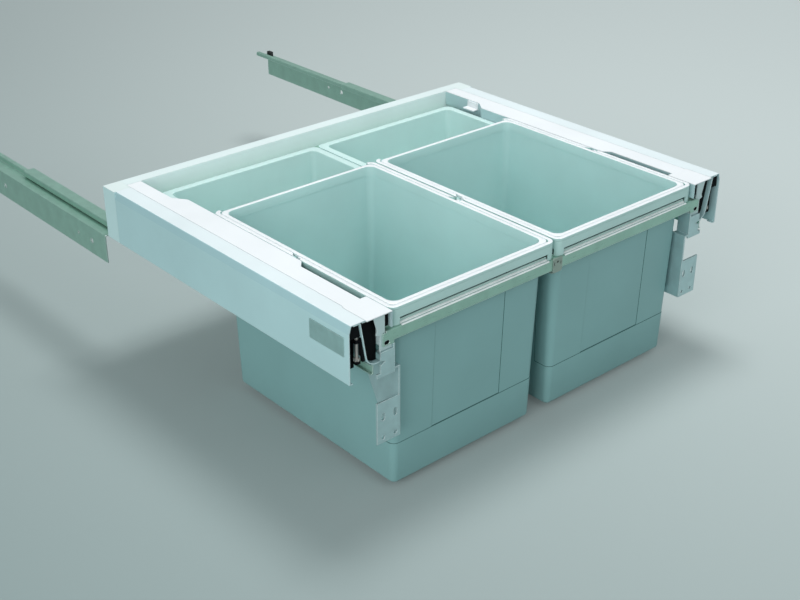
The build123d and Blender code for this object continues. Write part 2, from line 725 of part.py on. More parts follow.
def tapered(width, length, corner, height, draft):
    """Solid with a rounded rectangle on top that narrows downwards by the draft angle."""
    return extrude(RectangleRounded(width, length, corner), amount=-height, taper=draft)


def bin_shell(width, length, corner, height, wall, draft, foot_round):
    """Open tub: outside and inside both drafted, round lower edge, flat floor."""
    outside = tapered(width, length, corner, height, draft)
    lower = outside.faces().sort_by(Axis.Z)[0].edges()
    outside = fillet(lower, foot_round)
    inside = tapered(width - 2 * wall, length - 2 * wall, corner - wall, height - bin_floor, draft)
    return outside - inside


def front_zone(width, length, zone_width, sink):
    """Cutter that steps a stretch of a drafted body's front in by a given depth."""
    depth = front_zone_foot - ring_height
    core = tapered(width - 2 * sink, length - 2 * sink, bin_body_corner - sink, bin_height, bin_draft)
    middle = (front_zone_reach - bin_length) / 2
    return Pos(0, middle, -depth / 2) * Box(zone_width, front_zone_reach, depth) - core


def rim_outline(inset, corner):
    """Rounded outline of a main bin's rim, moved in by an inset."""
    return RectangleRounded(bin_width - 2 * inset, bin_length - 2 * inset, corner)


def bin_place():
    """Middle of the left main bin at the level of its rim's deck."""
    return Pos(bin_centre_x, y_at(bin_centre_y), z_at(ring_height))


def band_front(width):
    """Cutter for the front of the raised band, which leaves its ends slanted."""
    end = rear_band_start - bin_length / 2
    inner = bin_width / 2 - handle_width
    outline = [(-width / 2, -bin_length), (width / 2, -bin_length), (width / 2, end), (bin_width / 2, end),
               (inner, end + rear_band_slant), (-inner, end + rear_band_slant), (-bin_width / 2, end),
               (-width / 2, end)]
    return extrude(make_face(Polyline(*outline, close=True).edges()), amount=2 * ring_height, both=True)


def main_bin():
    """Left main bin: drafted tub with a stepped front, skirted rim, corner feet, rear band and pivot slots."""
    body_width = bin_width - 2 * bin_body_inset
    body_length = bin_length - 2 * bin_body_inset
    tub = bin_shell(body_width, body_length, bin_body_corner, bin_height, bin_wall, bin_draft, bin_foot_round)
    tub -= front_zone(body_width, body_length, bin_width, front_zone_step)
    tub -= front_zone(body_width, body_length, front_panel_width, 2 * front_zone_step)
    skirt_height = rim_skirt_depth - ring_height
    foot_height = ledge_depth - ring_height
    deck = extrude(rim_outline(0, rim_corner), amount=-rim_deck)
    deck -= extrude(RectangleRounded(body_width - 2 * bin_wall, body_length - 2 * bin_wall,
                                     bin_body_corner - bin_wall), amount=-rim_deck)
    ring = rim_outline(0, rim_corner) - rim_outline(rim_wall, rim_corner - rim_wall)
    skirt = extrude(ring, amount=-skirt_height)
    feet = extrude(ring, amount=-foot_height)
    over_width = bin_width + 2 * cut_margin
    over_length = bin_length + 2 * cut_margin
    between_x = Box(bin_width - 2 * rim_foot_length, over_length, 3 * foot_height)
    upstand = front_rail_ledge - front_rail_face - rail_sheet
    front_foot = upstand - overlap_clearance
    between_y = Pos(0, (front_foot - rim_foot_length) / 2, 0) \
        * Box(over_width, bin_length - front_foot - rim_foot_length, 3 * foot_height)
    feet = feet - between_x - between_y
    band = extrude(rim_outline(0, rim_corner) - rim_outline(handle_width, rim_corner - handle_width),
                   amount=ring_height)
    band -= band_front(over_width)
    rim = deck + skirt + feet + band
    pivot_y = pivot_setback - bin_centre_y
    pivot_z = ring_height - pivot_depth
    slot_width = ear_sheet + 2 * ear_slot_clearance
    slot_x = bin_width / 2 - rim_wall - slot_width / 2
    for side in (-1, 1):
        slot = Box(slot_width, ear_slot_front + ear_slot_rear, 4 * rim_deck)
        rim -= Pos(side * slot_x, pivot_y + (ear_slot_rear - ear_slot_front) / 2, -rim_deck / 2) * slot
        hole = Cylinder(pivot_radius + pin_seat_clearance, 3 * rim_wall, rotation=(0, 90, 0))
        rim -= Pos(side * (bin_width / 2 - rim_wall / 2), pivot_y, pivot_z) * hole
        hollow = Cylinder(pivot_hollow_radius, 2 * pivot_hollow_depth, rotation=(0, 90, 0))
        rim -= Pos(side * bin_width / 2, pivot_y, pivot_z) * hollow
    return bin_place() * (tub + rim)


def handle_pins():
    """Two pivot pins in the skirt of the left main bin's rim."""
    pins = []
    length = rim_wall + ear_slot_clearance + ear_sheet
    for side in (-1, 1):
        pin = Cylinder(pivot_radius, length, rotation=(0, 90, 0))
        pins.append(Pos(side * (bin_width / 2 - length / 2), pivot_setback - bin_centre_y,
                        ring_height - pivot_depth) * pin)
    return bin_place() * Compound(children=pins)


def bag_ring():
    """Ring that holds the bag: flat frame on the rim's deck with a lip down inside the bin."""
    outer_inset = handle_width + ring_gap
    lip_inset = bin_body_inset + bin_wall + ring_fit
    inner_inset = lip_inset + ring_wall
    corner = bin_body_corner - bin_wall - ring_fit
    frame = rim_outline(outer_inset, ring_corner) - rim_outline(inner_inset, corner - ring_wall)
    lip = rim_outline(lip_inset, corner) - rim_outline(inner_inset, corner - ring_wall)
    ring = Pos(0, 0, handle_seat_gap) * extrude(frame, amount=ring_height - handle_seat_gap)
    lip_solid = tapered(bin_width - 2 * lip_inset, bin_length - 2 * lip_inset, corner, ring_lip, bin_draft)
    lip_solid = Pos(0, 0, handle_seat_gap) * lip_solid
    hole = extrude(rim_outline(inner_inset, corner - ring_wall), amount=4 * ring_lip, both=True)
    return bin_place() * (ring + (lip_solid - hole))


def handle():
    """Flat bail around the front half of the rim, with an ear at each end that turns on its pin."""
    outline = rim_outline(0, rim_corner) - rim_outline(handle_width, rim_corner - handle_width)
    arm_end = pivot_setback - arm_end_setback - bin_centre_y
    frame = Pos(0, 0, handle_seat_gap) * extrude(outline, amount=ring_height - handle_seat_gap)
    over_width = bin_width + 2 * cut_margin
    frame -= Pos(0, arm_end + bin_length / 2, 0) * Box(over_width, bin_length, 8 * ring_height)
    frame = fillet(frame.edges().filter_by(Axis.Z).sort_by(Axis.Y)[-4:], arm_end_round)
    pivot_y = pivot_setback - bin_centre_y
    pivot_z = ring_height - pivot_depth
    ear_x = bin_width / 2 - rim_wall - ear_slot_clearance - ear_sheet / 2
    bail = frame
    for side in (-1, 1):
        disc = Pos(side * ear_x, pivot_y, pivot_z) * Cylinder(ear_radius, ear_sheet, rotation=(0, 90, 0))
        neck = Pos(side * ear_x, pivot_y - arm_end_setback / 2, (ring_height + pivot_z) / 2) \
            * Box(ear_sheet, arm_end_setback, pivot_depth)
        bore = Cylinder(pivot_radius + pivot_clearance, 3 * ear_sheet, rotation=(0, 90, 0))
        bail += disc + neck
        bail -= Pos(side * ear_x, pivot_y, pivot_z) * bore
    return bin_place() * bail


def small_bin():
    """Left rear bin: shallow drafted tub with a plain skirted rim."""
    body_width = bin_width - 2 * small_bin_body_inset
    body_length = small_bin_length - 2 * small_bin_body_inset
    tub = bin_shell(body_width, body_length, small_bin_corner, small_bin_depth, small_bin_wall, bin_draft,
                    bin_foot_round)
    outline = RectangleRounded(bin_width, small_bin_length, small_rim_corner)
    inner = RectangleRounded(bin_width - 2 * small_bin_wall, small_bin_length - 2 * small_bin_wall,
                             small_rim_corner - small_bin_wall)
    mouth = RectangleRounded(body_width - 2 * small_bin_wall, body_length - 2 * small_bin_wall,
                             small_bin_corner - small_bin_wall)
    rim = extrude(outline - mouth, amount=-rim_deck)
    skirt = extrude(outline - inner, amount=-(rear_bin_ledge_depth - small_bin_top))
    middle = small_bin_start + small_bin_length / 2
    return Pos(bin_centre_x, y_at(middle), z_at(small_bin_top)) * (tub + rim + skirt)


def all_nodes():
    """Every piece under its node's name. Left pieces are drawn and right pieces mirrored."""
    front_ball_cage, front_balls = front_cage()
    rear_ball_cage, rear_balls = rear_cage()
    pairs = {
        "side_profile": side_profile(),
        "inner_wall": inner_wall(),
        "name_plate": name_plate(),
        "drawer_rail": drawer_rail(),
        "middle_rail": middle_rail(),
        "cabinet_rail": cabinet_rail(),
        "closing_stop": closing_stop(),
        "front_ball_cage": front_ball_cage,
        "front_balls": front_balls,
        "rear_ball_cage": rear_ball_cage,
        "rear_balls": rear_balls,
        "front_fixing": front_fixing(),
        "height_adjuster": adjuster(),
        "frame_rail": frame_rail(),
        "cover_strip": cover_strip(),
        "rear_bracket": rear_bracket(),
        "front_bracket": front_bracket(),
        "main_bin": main_bin(),
        "handle_pins": handle_pins(),
        "bag_ring": bag_ring(),
        "handle": handle(),
        "rear_bin": small_bin(),
    }
    nodes = {
        "front_rail": front_rail(),
        "middle_cross_rail": middle_cross_rail(),
        "rear_ledge": rear_ledge(),
        "centre_bar": centre_bar(),
        "centre_clip": centre_clip(),
        "back_panel": back_panel(),
        "back_panel_screws": back_panel_screws(),
    }
    for name, shape in pairs.items():
        nodes["left_" + name] = shape
        nodes["right_" + name] = mirrored(shape)
    return nodes


os.makedirs("parts", exist_ok=True)
for node, solid in all_nodes().items():
    export_step(solid, f"parts/{node}.step")
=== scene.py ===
import json
import math
from collections import namedtuple

import bmesh
import bpy
from mathutils import Matrix, Vector


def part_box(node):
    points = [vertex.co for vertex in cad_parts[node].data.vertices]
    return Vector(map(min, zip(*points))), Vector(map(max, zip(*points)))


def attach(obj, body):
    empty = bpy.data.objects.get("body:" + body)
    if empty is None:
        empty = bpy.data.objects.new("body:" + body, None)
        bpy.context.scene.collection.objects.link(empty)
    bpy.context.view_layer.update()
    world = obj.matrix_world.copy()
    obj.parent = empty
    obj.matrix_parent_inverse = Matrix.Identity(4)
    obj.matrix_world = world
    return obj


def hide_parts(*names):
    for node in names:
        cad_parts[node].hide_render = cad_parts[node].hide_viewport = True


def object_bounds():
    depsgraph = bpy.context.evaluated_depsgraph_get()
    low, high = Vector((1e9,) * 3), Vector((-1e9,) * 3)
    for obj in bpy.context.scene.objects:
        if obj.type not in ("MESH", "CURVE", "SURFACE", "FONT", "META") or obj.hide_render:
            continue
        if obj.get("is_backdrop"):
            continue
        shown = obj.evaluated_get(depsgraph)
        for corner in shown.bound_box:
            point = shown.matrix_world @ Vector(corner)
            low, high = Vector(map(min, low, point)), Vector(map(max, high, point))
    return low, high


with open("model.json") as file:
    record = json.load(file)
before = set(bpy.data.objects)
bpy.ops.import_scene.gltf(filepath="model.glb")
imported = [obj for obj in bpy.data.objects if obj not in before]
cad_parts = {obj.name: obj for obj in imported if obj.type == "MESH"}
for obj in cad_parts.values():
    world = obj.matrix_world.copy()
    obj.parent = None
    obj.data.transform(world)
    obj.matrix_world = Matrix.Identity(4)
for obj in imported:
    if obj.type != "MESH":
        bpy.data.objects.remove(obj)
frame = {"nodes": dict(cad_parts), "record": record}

bl_info = {
    "name": "Pull-out Waste Bin",
    "version": (1, 0, 0),
    "blender": (4, 5, 0),
    "location": "3D View > Sidebar > Waste Bin",
    "description": "Builds the visible surfaces of a pull-out waste bin over its packed frame",
    "category": "Add Mesh",
}

MM = 0.001
# The sides, and where each lies along X.
SIDES = {"left": -1, "right": 1}
AXES = (Vector((1, 0, 0)), Vector((0, 1, 0)), Vector((0, 0, 1)))
Box = namedtuple("Box", "centre width depth top bottom")
# Distances in metres: of points that are one, on a cut's plane, and beside a line.
SAME, ON_PLANE, BESIDE = 1e-6, 1e-7, 0.01 * MM
# Edges that turn by more stay sharp, and faces whose normal rises by less are upright.
SHARP, UPRIGHT = math.radians(35), 0.5

# Quarter rounds as shares of the radius, away from the wall and along it: a plain one, and a
# smoother one's lower points.
QUARTER = ((0.7, 0.0), (0.2, 0.2), (0.0, 0.7))
LOW_QUARTER = ((0.13, 0.5), (0.5, 0.13), (1.0, 0.0))
# A tub's mouth: inset from its inner wall, and level, in mm.
MOUTH = ((0.4, -0.6), (-0.2, 0.0))
# Radii: a tub's foot, a skirt's lower edge, the edges of bail, band and ring, and cut ends.
FOOT_ROUND, SKIRT_ROUND, EDGE_ROUND, END_ROUND = 3 * MM, 0.3 * MM, 0.4 * MM, 1.5 * MM
# Least radii of a tub's corners at its foot, inside and outside.
LEAST_INSIDE, LEAST_OUTSIDE = 3 * MM, 4 * MM
# Width of the slope beside a corner foot, and how much of the skirt's edge comes down with it.
FOOT_SLOPE, SKIRT_EDGE = 0.4 * MM, 0.5 * MM
# Slot for a bail's ear, ahead of the pivot and behind it, and the underside of the raised band.
SLOT_AHEAD, SLOT_BEHIND, BAND_FOOT = 5 * MM, 6.8 * MM, -0.5 * MM
# Margin of the square round a pivot's hollow, and the parts of each of the square's edges.
HOLLOW_MARGIN, HOLLOW_PARTS = 0.1 * MM, 6
# Points of the round outlines of an ear and of a rail pin.
EAR_POINTS, PIN_POINTS = 32, 24
# A main bin's finishes by place in its list, and its rim's bridges that are the skirt's walls.
# Of these, the inside is painted light, the rim painted light and shade, the step a painted shadow.
BODY, TOP, INSIDE, RIM, STEP_SHADOW = range(5)
SKIRT_OUTSIDE, SKIRT_INSIDE = 3, 7

# Fronts of the black mouldings in a side's end, as corners (inset, depth below the top), and
# their setbacks, in mm. Then their thickness and the radius of their edges.
# These black mouldings are partly the real fixings and partly a painted shade that fills the hollow
# end.
END_PLUGS = (
    (((3.2, 3.0), (13.2, 3.0), (15.6, 16.5), (2.0, 16.5), (2.0, 9.0)), 2.5),
    (((15.8, 18.0), (16.0, 18.0), (19.2, 37.5), (15.8, 37.5)), 1.5),
    (((17.4, 37.8), (19.3, 37.8), (20.6, 44.5), (17.4, 44.5)), 1.5),
    (((15.8, 3.0), (36.5, 3.0), (36.5, 50.0), (33.0, 50.0), (27.5, 48.2), (24.4, 44.8),
      (23.0, 41.0)), 5.0),
    (((39.0, 1.5), (49.9, 1.5), (49.9, 17.0), (39.0, 17.0)), 2.5),
)
PLUG_DEPTH, PLUG_EDGE = 3.5 * MM, 0.15 * MM
# The black pin in the oval hole at each end of the front rail: inset and depth of its middle,
# half width, half height, setback and thickness, in mm.
RAIL_PIN = (44.5, 32.0, 3.1, 2.1, -1.4, 0.5)
# The black pad behind the openings of the centre clip: half width, upper and lower edge below
# the top, setback, thickness and radius of its edges, in mm.
# The pad is a painted shade: a black sheet where there is only shadow behind the clip.
CLIP_PAD = (5.9, 20.7, 27.8, -2.08, 0.06, 0.01)
# Fitting on the rear end of each cover strip: insets of its back and its foot's edge, front and
# rear end ahead of the back panel, depths of its top and its foot's top, thickness of tab and
# foot, and radius of the tab's top edges, in mm.
REAR_FITTING = (40.05, 49.5, 64.0, 44.0, 1.3, 9.0, 1.6, 1.5, 0.5)
# Fold lines of the strip on the front rail's ledge: setback from the sides' front, depth below
# their top, in mm. Then its gap to the corner feet and the thickness of its sheet.
LEDGE_STRIP = (
    (-2.2, 20.4), (-2.1, 19.6), (-1.5, 19.1), (-0.7, 19.2), (-0.5, 19.5), (0.9, 19.5), (1.2, 18.6),
    (2.5, 18.2), (2.9, 15.5))
STRIP_GAP, STRIP_SHEET = 0.8 * MM, 0.4 * MM
# Setbacks between which the strip's metal is the plain one; its bead and its fold have a
# painted highlight.
PLAIN_STRIP = ((-0.6, 1.0), (2.6, 3.5))
# Name plates: height of the border above the field, width of the slope between them, segments
# of each round corner.
PLATE_STEP, PLATE_SLOPE, PLATE_SEGMENTS = 0.12 * MM, 0.1 * MM, 4

# Sockets of a node that mixes two colours.
MIX_SHARE, MIX_ONE, MIX_TWO, MIX_RESULT = 0, 6, 7, 2
# Span of a noise texture's values, and cosines between true and softened normal where an
# edge's painted highlight begins and is full.
NOISE_SPAN = {"From Min": 0.3, "From Max": 0.7}
EDGE_SPAN = {"From Min": 0.99, "From Max": 0.85}
# Rays that soften an edge, and the scale of streaks along their direction.
EDGE_RAYS, STREAK_SCALE = 4, 0.02
# Heights where bands of painted light and shade change a colour, and half the width of the change.
SHOULDER_FOOT, COVER_TOP, SIDE_TOP, BAND_BLUR = 73.4 * MM, 81.2 * MM, 81.7 * MM, 0.1 * MM

# The floor's half width, and the run of its colour from painted shade to painted light: turn
# in degrees, start and end in metres.
FLOOR_HALF = 6
FLOOR_TURN, FLOOR_START, FLOOR_END = -8, -1.0, 1.75
# Share of the floor's colour that no shadow darkens.
FLOOR_PLAIN = 0.12
# Middle of the drawer, and the lamps by name: place from that middle, and width, in metres.
MIDDLE = Vector((0, -0.22, 0))
LAMPS = {
    "key": ((0.28, 0.15, 1.6), 0.55),
    "fill": ((-1.7, -0.7, 0.6), 1.2),
    "front": ((0.1, -1.7, 1.0), 1.0),
}
# Camera: place and clipping in metres, angles down and to the right in degrees, sensor in mm.
CAMERA_PLACE = (-0.92576, -1.24761, 0.65563)
CAMERA_CLIP = (0.05, 50)
CAMERA_DOWN, CAMERA_RIGHT, SENSOR = 27.89, 41.36, 36


def from_hex(code):
    """Linear colour with alpha from an sRGB hex code."""
    channels = [int(code[i:i + 2], 16) / 255 for i in (1, 3, 5)]
    return [c / 12.92 if c <= 0.04045 else ((c + 0.055) / 1.055) ** 2.4 for c in channels] + [1.0]


def colour(title, text, code):
    """Colour property with its default from a hex code."""
    return bpy.props.FloatVectorProperty(
        name=title, description=text, subtype="COLOR", size=4, min=0, max=1, default=from_hex(code))


def length(title, text, mm):
    """Length property with its default in mm."""
    return bpy.props.FloatProperty(
        name=title, description=text, default=mm * MM, unit="LENGTH", precision=4)


def power(title, text, watts):
    """Lamp power property."""
    return bpy.props.FloatProperty(name=title, description=text, default=watts, unit="POWER")


class WasteBinColours(bpy.types.PropertyGroup):
    """Colours of the finishes"""
    coat: colour("Side coat", "Powder coat of the drawer sides", "#b4d6d9")
    # Painted shade on the sides' shoulder, and painted light on their level top.
    shoulder: colour("Shoulder", "Powder coat on the sides' slanted shoulder", "#aacdd2")
    lit_side_top: colour("Side top", "Powder coat on the level top of the sides", "#e1ebee")
    cover: colour("Covers", "Moulded cover strips, rims and rings", "#eceff2")
    # Bins: painted shade outside, painted light inside and on the rear bins.
    bin_body: colour("Bins", "Moulded bins", "#84aeae")
    bin_inside: colour("Bins inside", "Polished inside of the bins", "#c1e0de")
    rear_bin: colour("Rear bins", "Shallow bins at the back", "#cbe6e3")
    # Rims: painted light on the skirts, painted shade on the sides of bails and bands.
    rim: colour("Rims", "Outside of the main bins' rims", "#b6d7d3")
    zinc: colour("Zinc", "Zinc plated rails", "#9cc3b4")
    bracket: colour("Brackets", "Zinc plated brackets", "#b3cfd1")
    plate: colour("Plates", "Bare plates on the sides", "#a3c6c4")
    # Floor: painted light to the back right, painted shade at the front and left.
    floor: colour("Floor", "Studio floor, away from the viewer", "#f4fbfa")
    floor_near_shade: colour("Near floor", "Studio floor at the front and left", "#758989")
    world: colour("World", "Light all round", "#e4f1f3")


class WasteBinSizes(bpy.types.PropertyGroup):
    """Sizes of the moulded pieces"""
    rim_corner: length("Rim corner", "Radius of the rim's outer corners", 9)
    rim_wall: length("Rim wall", "Thickness of the rim's skirt", 2)
    rim_raise: length("Rim raise", "Height of ring and bail above the rim's deck", 3)
    deck: length("Deck", "Thickness of the rim's deck", 2)
    skirt: length("Skirt", "Depth of the rim's skirt below its deck", 9.2)
    foot: length("Foot", "Depth of the skirt's corner feet below the deck", 17)
    foot_length: length("Foot length", "Length of the corner feet", 10.5)
    front_foot: length("Front foot", "Length of the front feet along the sides", 5.1)
    body_inset: length("Body inset", "Wall of the tub inside the rim's edge", 6.8)
    body_corner: length("Body corner", "Radius of the tub's corners", 13)
    wall: length("Wall", "Thickness of the tub's wall", 1.8)
    base: length("Base", "Thickness of the tub's floor", 2.5)
    draft: bpy.props.FloatProperty(
        name="Draft", description="Slope of the tub's walls", subtype="ANGLE", unit="ROTATION",
        default=math.radians(1.75))
    zone_foot: length("Zone foot", "Depth of the sunk front zone below the deck", 162)
    zone_reach: length("Zone reach", "Stretch of the sides in the sunk zone", 34)
    panel_half: length("Panel", "Half the width of the front's middle panel", 49)
    sink: length("Sink", "Depth of each step into the bin's front", 0.4)
    step: length("Step", "Width of each step's slope", 0.5)
    bail_width: length("Bail width", "Width of the bail and the raised band behind it", 4.9)
    bail_gap: length("Bail gap", "Gap between the bail and the deck below it", 0.2)
    seam: length("Seam", "Gap between the bail and the bag ring", 0.4)
    band_start: length("Band start", "Front end of the raised band behind the bail", 152)
    band_slant: length("Band slant", "How far the band's end slants back to its inside", 7)
    pivot_setback: length("Pivot setback", "Bail's pivot behind the rim's front edge", 145)
    pivot_drop: length("Pivot drop", "Bail's pivot below the rim's deck", 3)
    arm_end: length("Arm end", "From the end of the bail's arm to its pivot", 3.6)
    hollow_radius: length("Hollow radius", "Radius of the hollow round each pivot pin", 2.2)
    hollow_depth: length("Hollow depth", "Depth of the hollow round each pivot pin", 0.9)
    ear_radius: length("Ear radius", "Radius of the bail's ears", 4)
    ear_sheet: length("Ear thickness", "Thickness of the bail's ears", 2.3)
    ear_slot: length("Ear slot", "Clearance beside the bail's ears", 0.4)
    ring_corner: length("Ring corner", "Radius of the bag ring's outer corners", 7)
    ring_fit: length("Ring fit", "Gap between the bag ring's lip and the tub", 0.4)
    ring_lip: length("Ring lip", "Depth of the bag ring's lip", 8.8)
    ring_wall: length("Ring wall", "Thickness of the bag ring's lip", 0.9)
    rear_rim_corner: length("Rear rim corner", "Radius of a rear bin's rim corners", 8)
    rear_skirt: length("Rear skirt", "Depth of a rear bin's skirt", 9)
    rear_inset: length("Rear inset", "Wall of a rear bin inside its rim's edge", 7)
    rear_corner: length("Rear corner", "Radius of a rear bin's corners", 10)
    plate_corner: length("Plate corner", "Radius of the name plates' corners", 0.8)
    plate_border: length("Plate border", "Width of the name plates' border", 0.55)


class WasteBinStage(bpy.types.PropertyGroup):
    """Floor, lamps and camera"""
    floor_gap: length("Floor gap", "Height of the bins above the floor", 7)
    key: power("Key lamp", "Power of the lamp above", 16.8)
    fill: power("Fill lamp", "Power of the lamp at the left", 15)
    front: power("Front lamp", "Power of the low lamp in front", 4)
    world: bpy.props.FloatProperty(
        name="World", description="Strength of the light all round", default=0.45)
    focal: bpy.props.FloatProperty(
        name="Focal length", description="Camera lens in millimetres", default=58.19)


def add_node(tree, kind, inputs=(), **settings):
    """Add a shader node, set its properties, and set or link its inputs. Text is a hex code."""
    node = tree.nodes.new("ShaderNode" + kind)
    for name, value in settings.items():
        setattr(node, name, value)
    for name, value in dict(inputs).items():
        if isinstance(value, bpy.types.NodeSocket):
            tree.links.new(value, node.inputs[name])
            continue
        node.inputs[name].default_value = from_hex(value) if isinstance(value, str) else value
    return node


def new_material(name):
    """Empty node material and its tree."""
    material = bpy.data.materials.new(name)
    material.use_nodes = True
    tree = material.node_tree
    tree.nodes.clear()
    return material, tree


def paint_edge_highlight(tree, soft, paint, highlight_colour, most):
    """Colour with a painted highlight mixed in where the softened edges turn the normal."""
    flat = add_node(tree, "NewGeometry").outputs["True Normal"]
    turn = add_node(tree, "VectorMath", {0: soft, 1: flat}, operation="DOT_PRODUCT")
    share = add_node(tree, "MapRange", {
        **EDGE_SPAN, "Value": turn.outputs["Value"], "To Max": most})
    mix = add_node(tree, "Mix", {
        MIX_SHARE: share.outputs[0], MIX_ONE: paint, MIX_TWO: highlight_colour}, data_type="RGBA")
    return mix.outputs[MIX_RESULT]


def grained(name, tint, roughness, grain_mm, relief_mm, painted_light_bands=(), edge_mm=0.5, highlight_share=0.0,
            highlight_colour="#f4fcfc", gloss=0.5, metallic=0.0, along="", grain_detail=2.0, spread=0.05,
            cloud_mm=90, cloud_detail=3.0, darkest=0.96, palest=1.04):
    """Surface with a grain, faint clouds in its colour and softened edges.

    Bands are heights with tints above them, painted light and shade on one material; the edges
    get a painted highlight of a given colour and share; along is the axis of a grain in streaks.
    """
    material, tree = new_material(name)
    place = add_node(tree, "TexCoord").outputs["Object"]
    for level, above in painted_light_bands:
        height = add_node(tree, "SeparateXYZ", {"Vector": place}).outputs["Z"]
        step = add_node(tree, "MapRange", {
            "Value": height, "From Min": level - BAND_BLUR, "From Max": level + BAND_BLUR})
        mix = add_node(tree, "Mix", {
            MIX_SHARE: step.outputs[0], MIX_ONE: tint, MIX_TWO: above}, data_type="RGBA")
        tint = mix.outputs[MIX_RESULT]
    spot = place
    if along:
        stretch = [STREAK_SCALE if axis == along else 1.0 for axis in "XYZ"]
        spot = add_node(tree, "Mapping", {"Vector": place, "Scale": stretch}).outputs[0]
    grain = add_node(tree, "TexNoise", {
        "Vector": spot, "Scale": 1 / (grain_mm * MM), "Detail": grain_detail}).outputs["Fac"]
    clouds = add_node(tree, "TexNoise", {
        "Vector": place, "Scale": 1 / (cloud_mm * MM), "Detail": cloud_detail}).outputs["Fac"]
    value = add_node(tree, "MapRange", {
        **NOISE_SPAN, "Value": clouds, "To Min": darkest, "To Max": palest})
    paint = add_node(tree, "HueSaturation", {"Color": tint, "Value": value.outputs[0]})
    rough = add_node(tree, "MapRange", {
        **NOISE_SPAN, "Value": grain, "To Min": roughness - spread, "To Max": roughness + spread})
    soft = add_node(tree, "Bevel", {"Radius": edge_mm * MM}, samples=EDGE_RAYS)
    shown = paint.outputs[0]
    # Painted highlight: a brighter colour on the edges.
    if highlight_share:
        shown = paint_edge_highlight(tree, soft.outputs[0], shown, highlight_colour, highlight_share)
    bump = add_node(tree, "Bump", {
        "Height": grain, "Distance": relief_mm * MM, "Normal": soft.outputs[0]})
    shader = add_node(tree, "BsdfPrincipled", {
        "Base Color": shown, "Roughness": rough.outputs[0], "Metallic": metallic,
        "Specular IOR Level": gloss, "Normal": bump.outputs[0]})
    add_node(tree, "OutputMaterial", {"Surface": shader.outputs[0]})
    return material


def rolled(name, tint, roughness, along, streak_mm=0.4, edge_mm=0.4, metallic=0.6):
    """Plated sheet with streaks of its rolling direction and a painted highlight on its edges."""
    return grained(
        name, tint, roughness, streak_mm, 0.02, edge_mm=edge_mm, highlight_share=0.9, highlight_colour="#f7ffff",
        metallic=metallic, along=along, grain_detail=3.0, spread=0.08, cloud_mm=14,
        cloud_detail=4.0, darkest=0.93, palest=1.06)


def floor_paint(colours):
    """Matt painted studio floor with a faint roller grain: painted shade front left, light back
    right.
    """
    material, tree = new_material("matt_floor_paint")
    place = add_node(tree, "TexCoord").outputs["Object"]
    # Turned so that X runs from the front left to the back right.
    across = add_node(tree, "Mapping", {
        "Vector": place, "Rotation": (0, 0, math.radians(FLOOR_TURN))})
    run = add_node(tree, "SeparateXYZ", {"Vector": across.outputs[0]})
    share = add_node(tree, "MapRange", {
        "Value": run.outputs["X"], "From Min": FLOOR_START, "From Max": FLOOR_END})
    mix = add_node(tree, "Mix", {
        MIX_SHARE: share.outputs[0], MIX_ONE: colours.floor_near_shade, MIX_TWO: colours.floor},
        data_type="RGBA")
    tint = mix.outputs[MIX_RESULT]
    grain = add_node(tree, "TexNoise", {"Vector": place, "Scale": 1 / (3 * MM), "Detail": 2.0})
    bump = add_node(tree, "Bump", {"Height": grain.outputs["Fac"], "Distance": 0.02 * MM})
    paint = add_node(tree, "BsdfPrincipled", {
        "Base Color": tint, "Roughness": 0.85, "Normal": bump.outputs[0]})
    # Seen by the camera or in a reflection, the floor keeps only part of the object's shadow.
    rays = add_node(tree, "LightPath")
    seen = rays.outputs["Is Camera Ray"]
    for kind in ("Is Glossy Ray", "Is Transmission Ray"):
        seen = add_node(tree, "Math", {0: seen, 1: rays.outputs[kind]},
                        operation="ADD", use_clamp=True).outputs[0]
    part = add_node(tree, "MapRange", {"Value": seen, "To Max": FLOOR_PLAIN})
    plain = add_node(tree, "Emission", {"Color": tint})
    both = add_node(tree, "MixShader", {
        0: part.outputs[0], 1: paint.outputs[0], 2: plain.outputs[0]})
    add_node(tree, "OutputMaterial", {"Surface": both.outputs[0]})
    return material


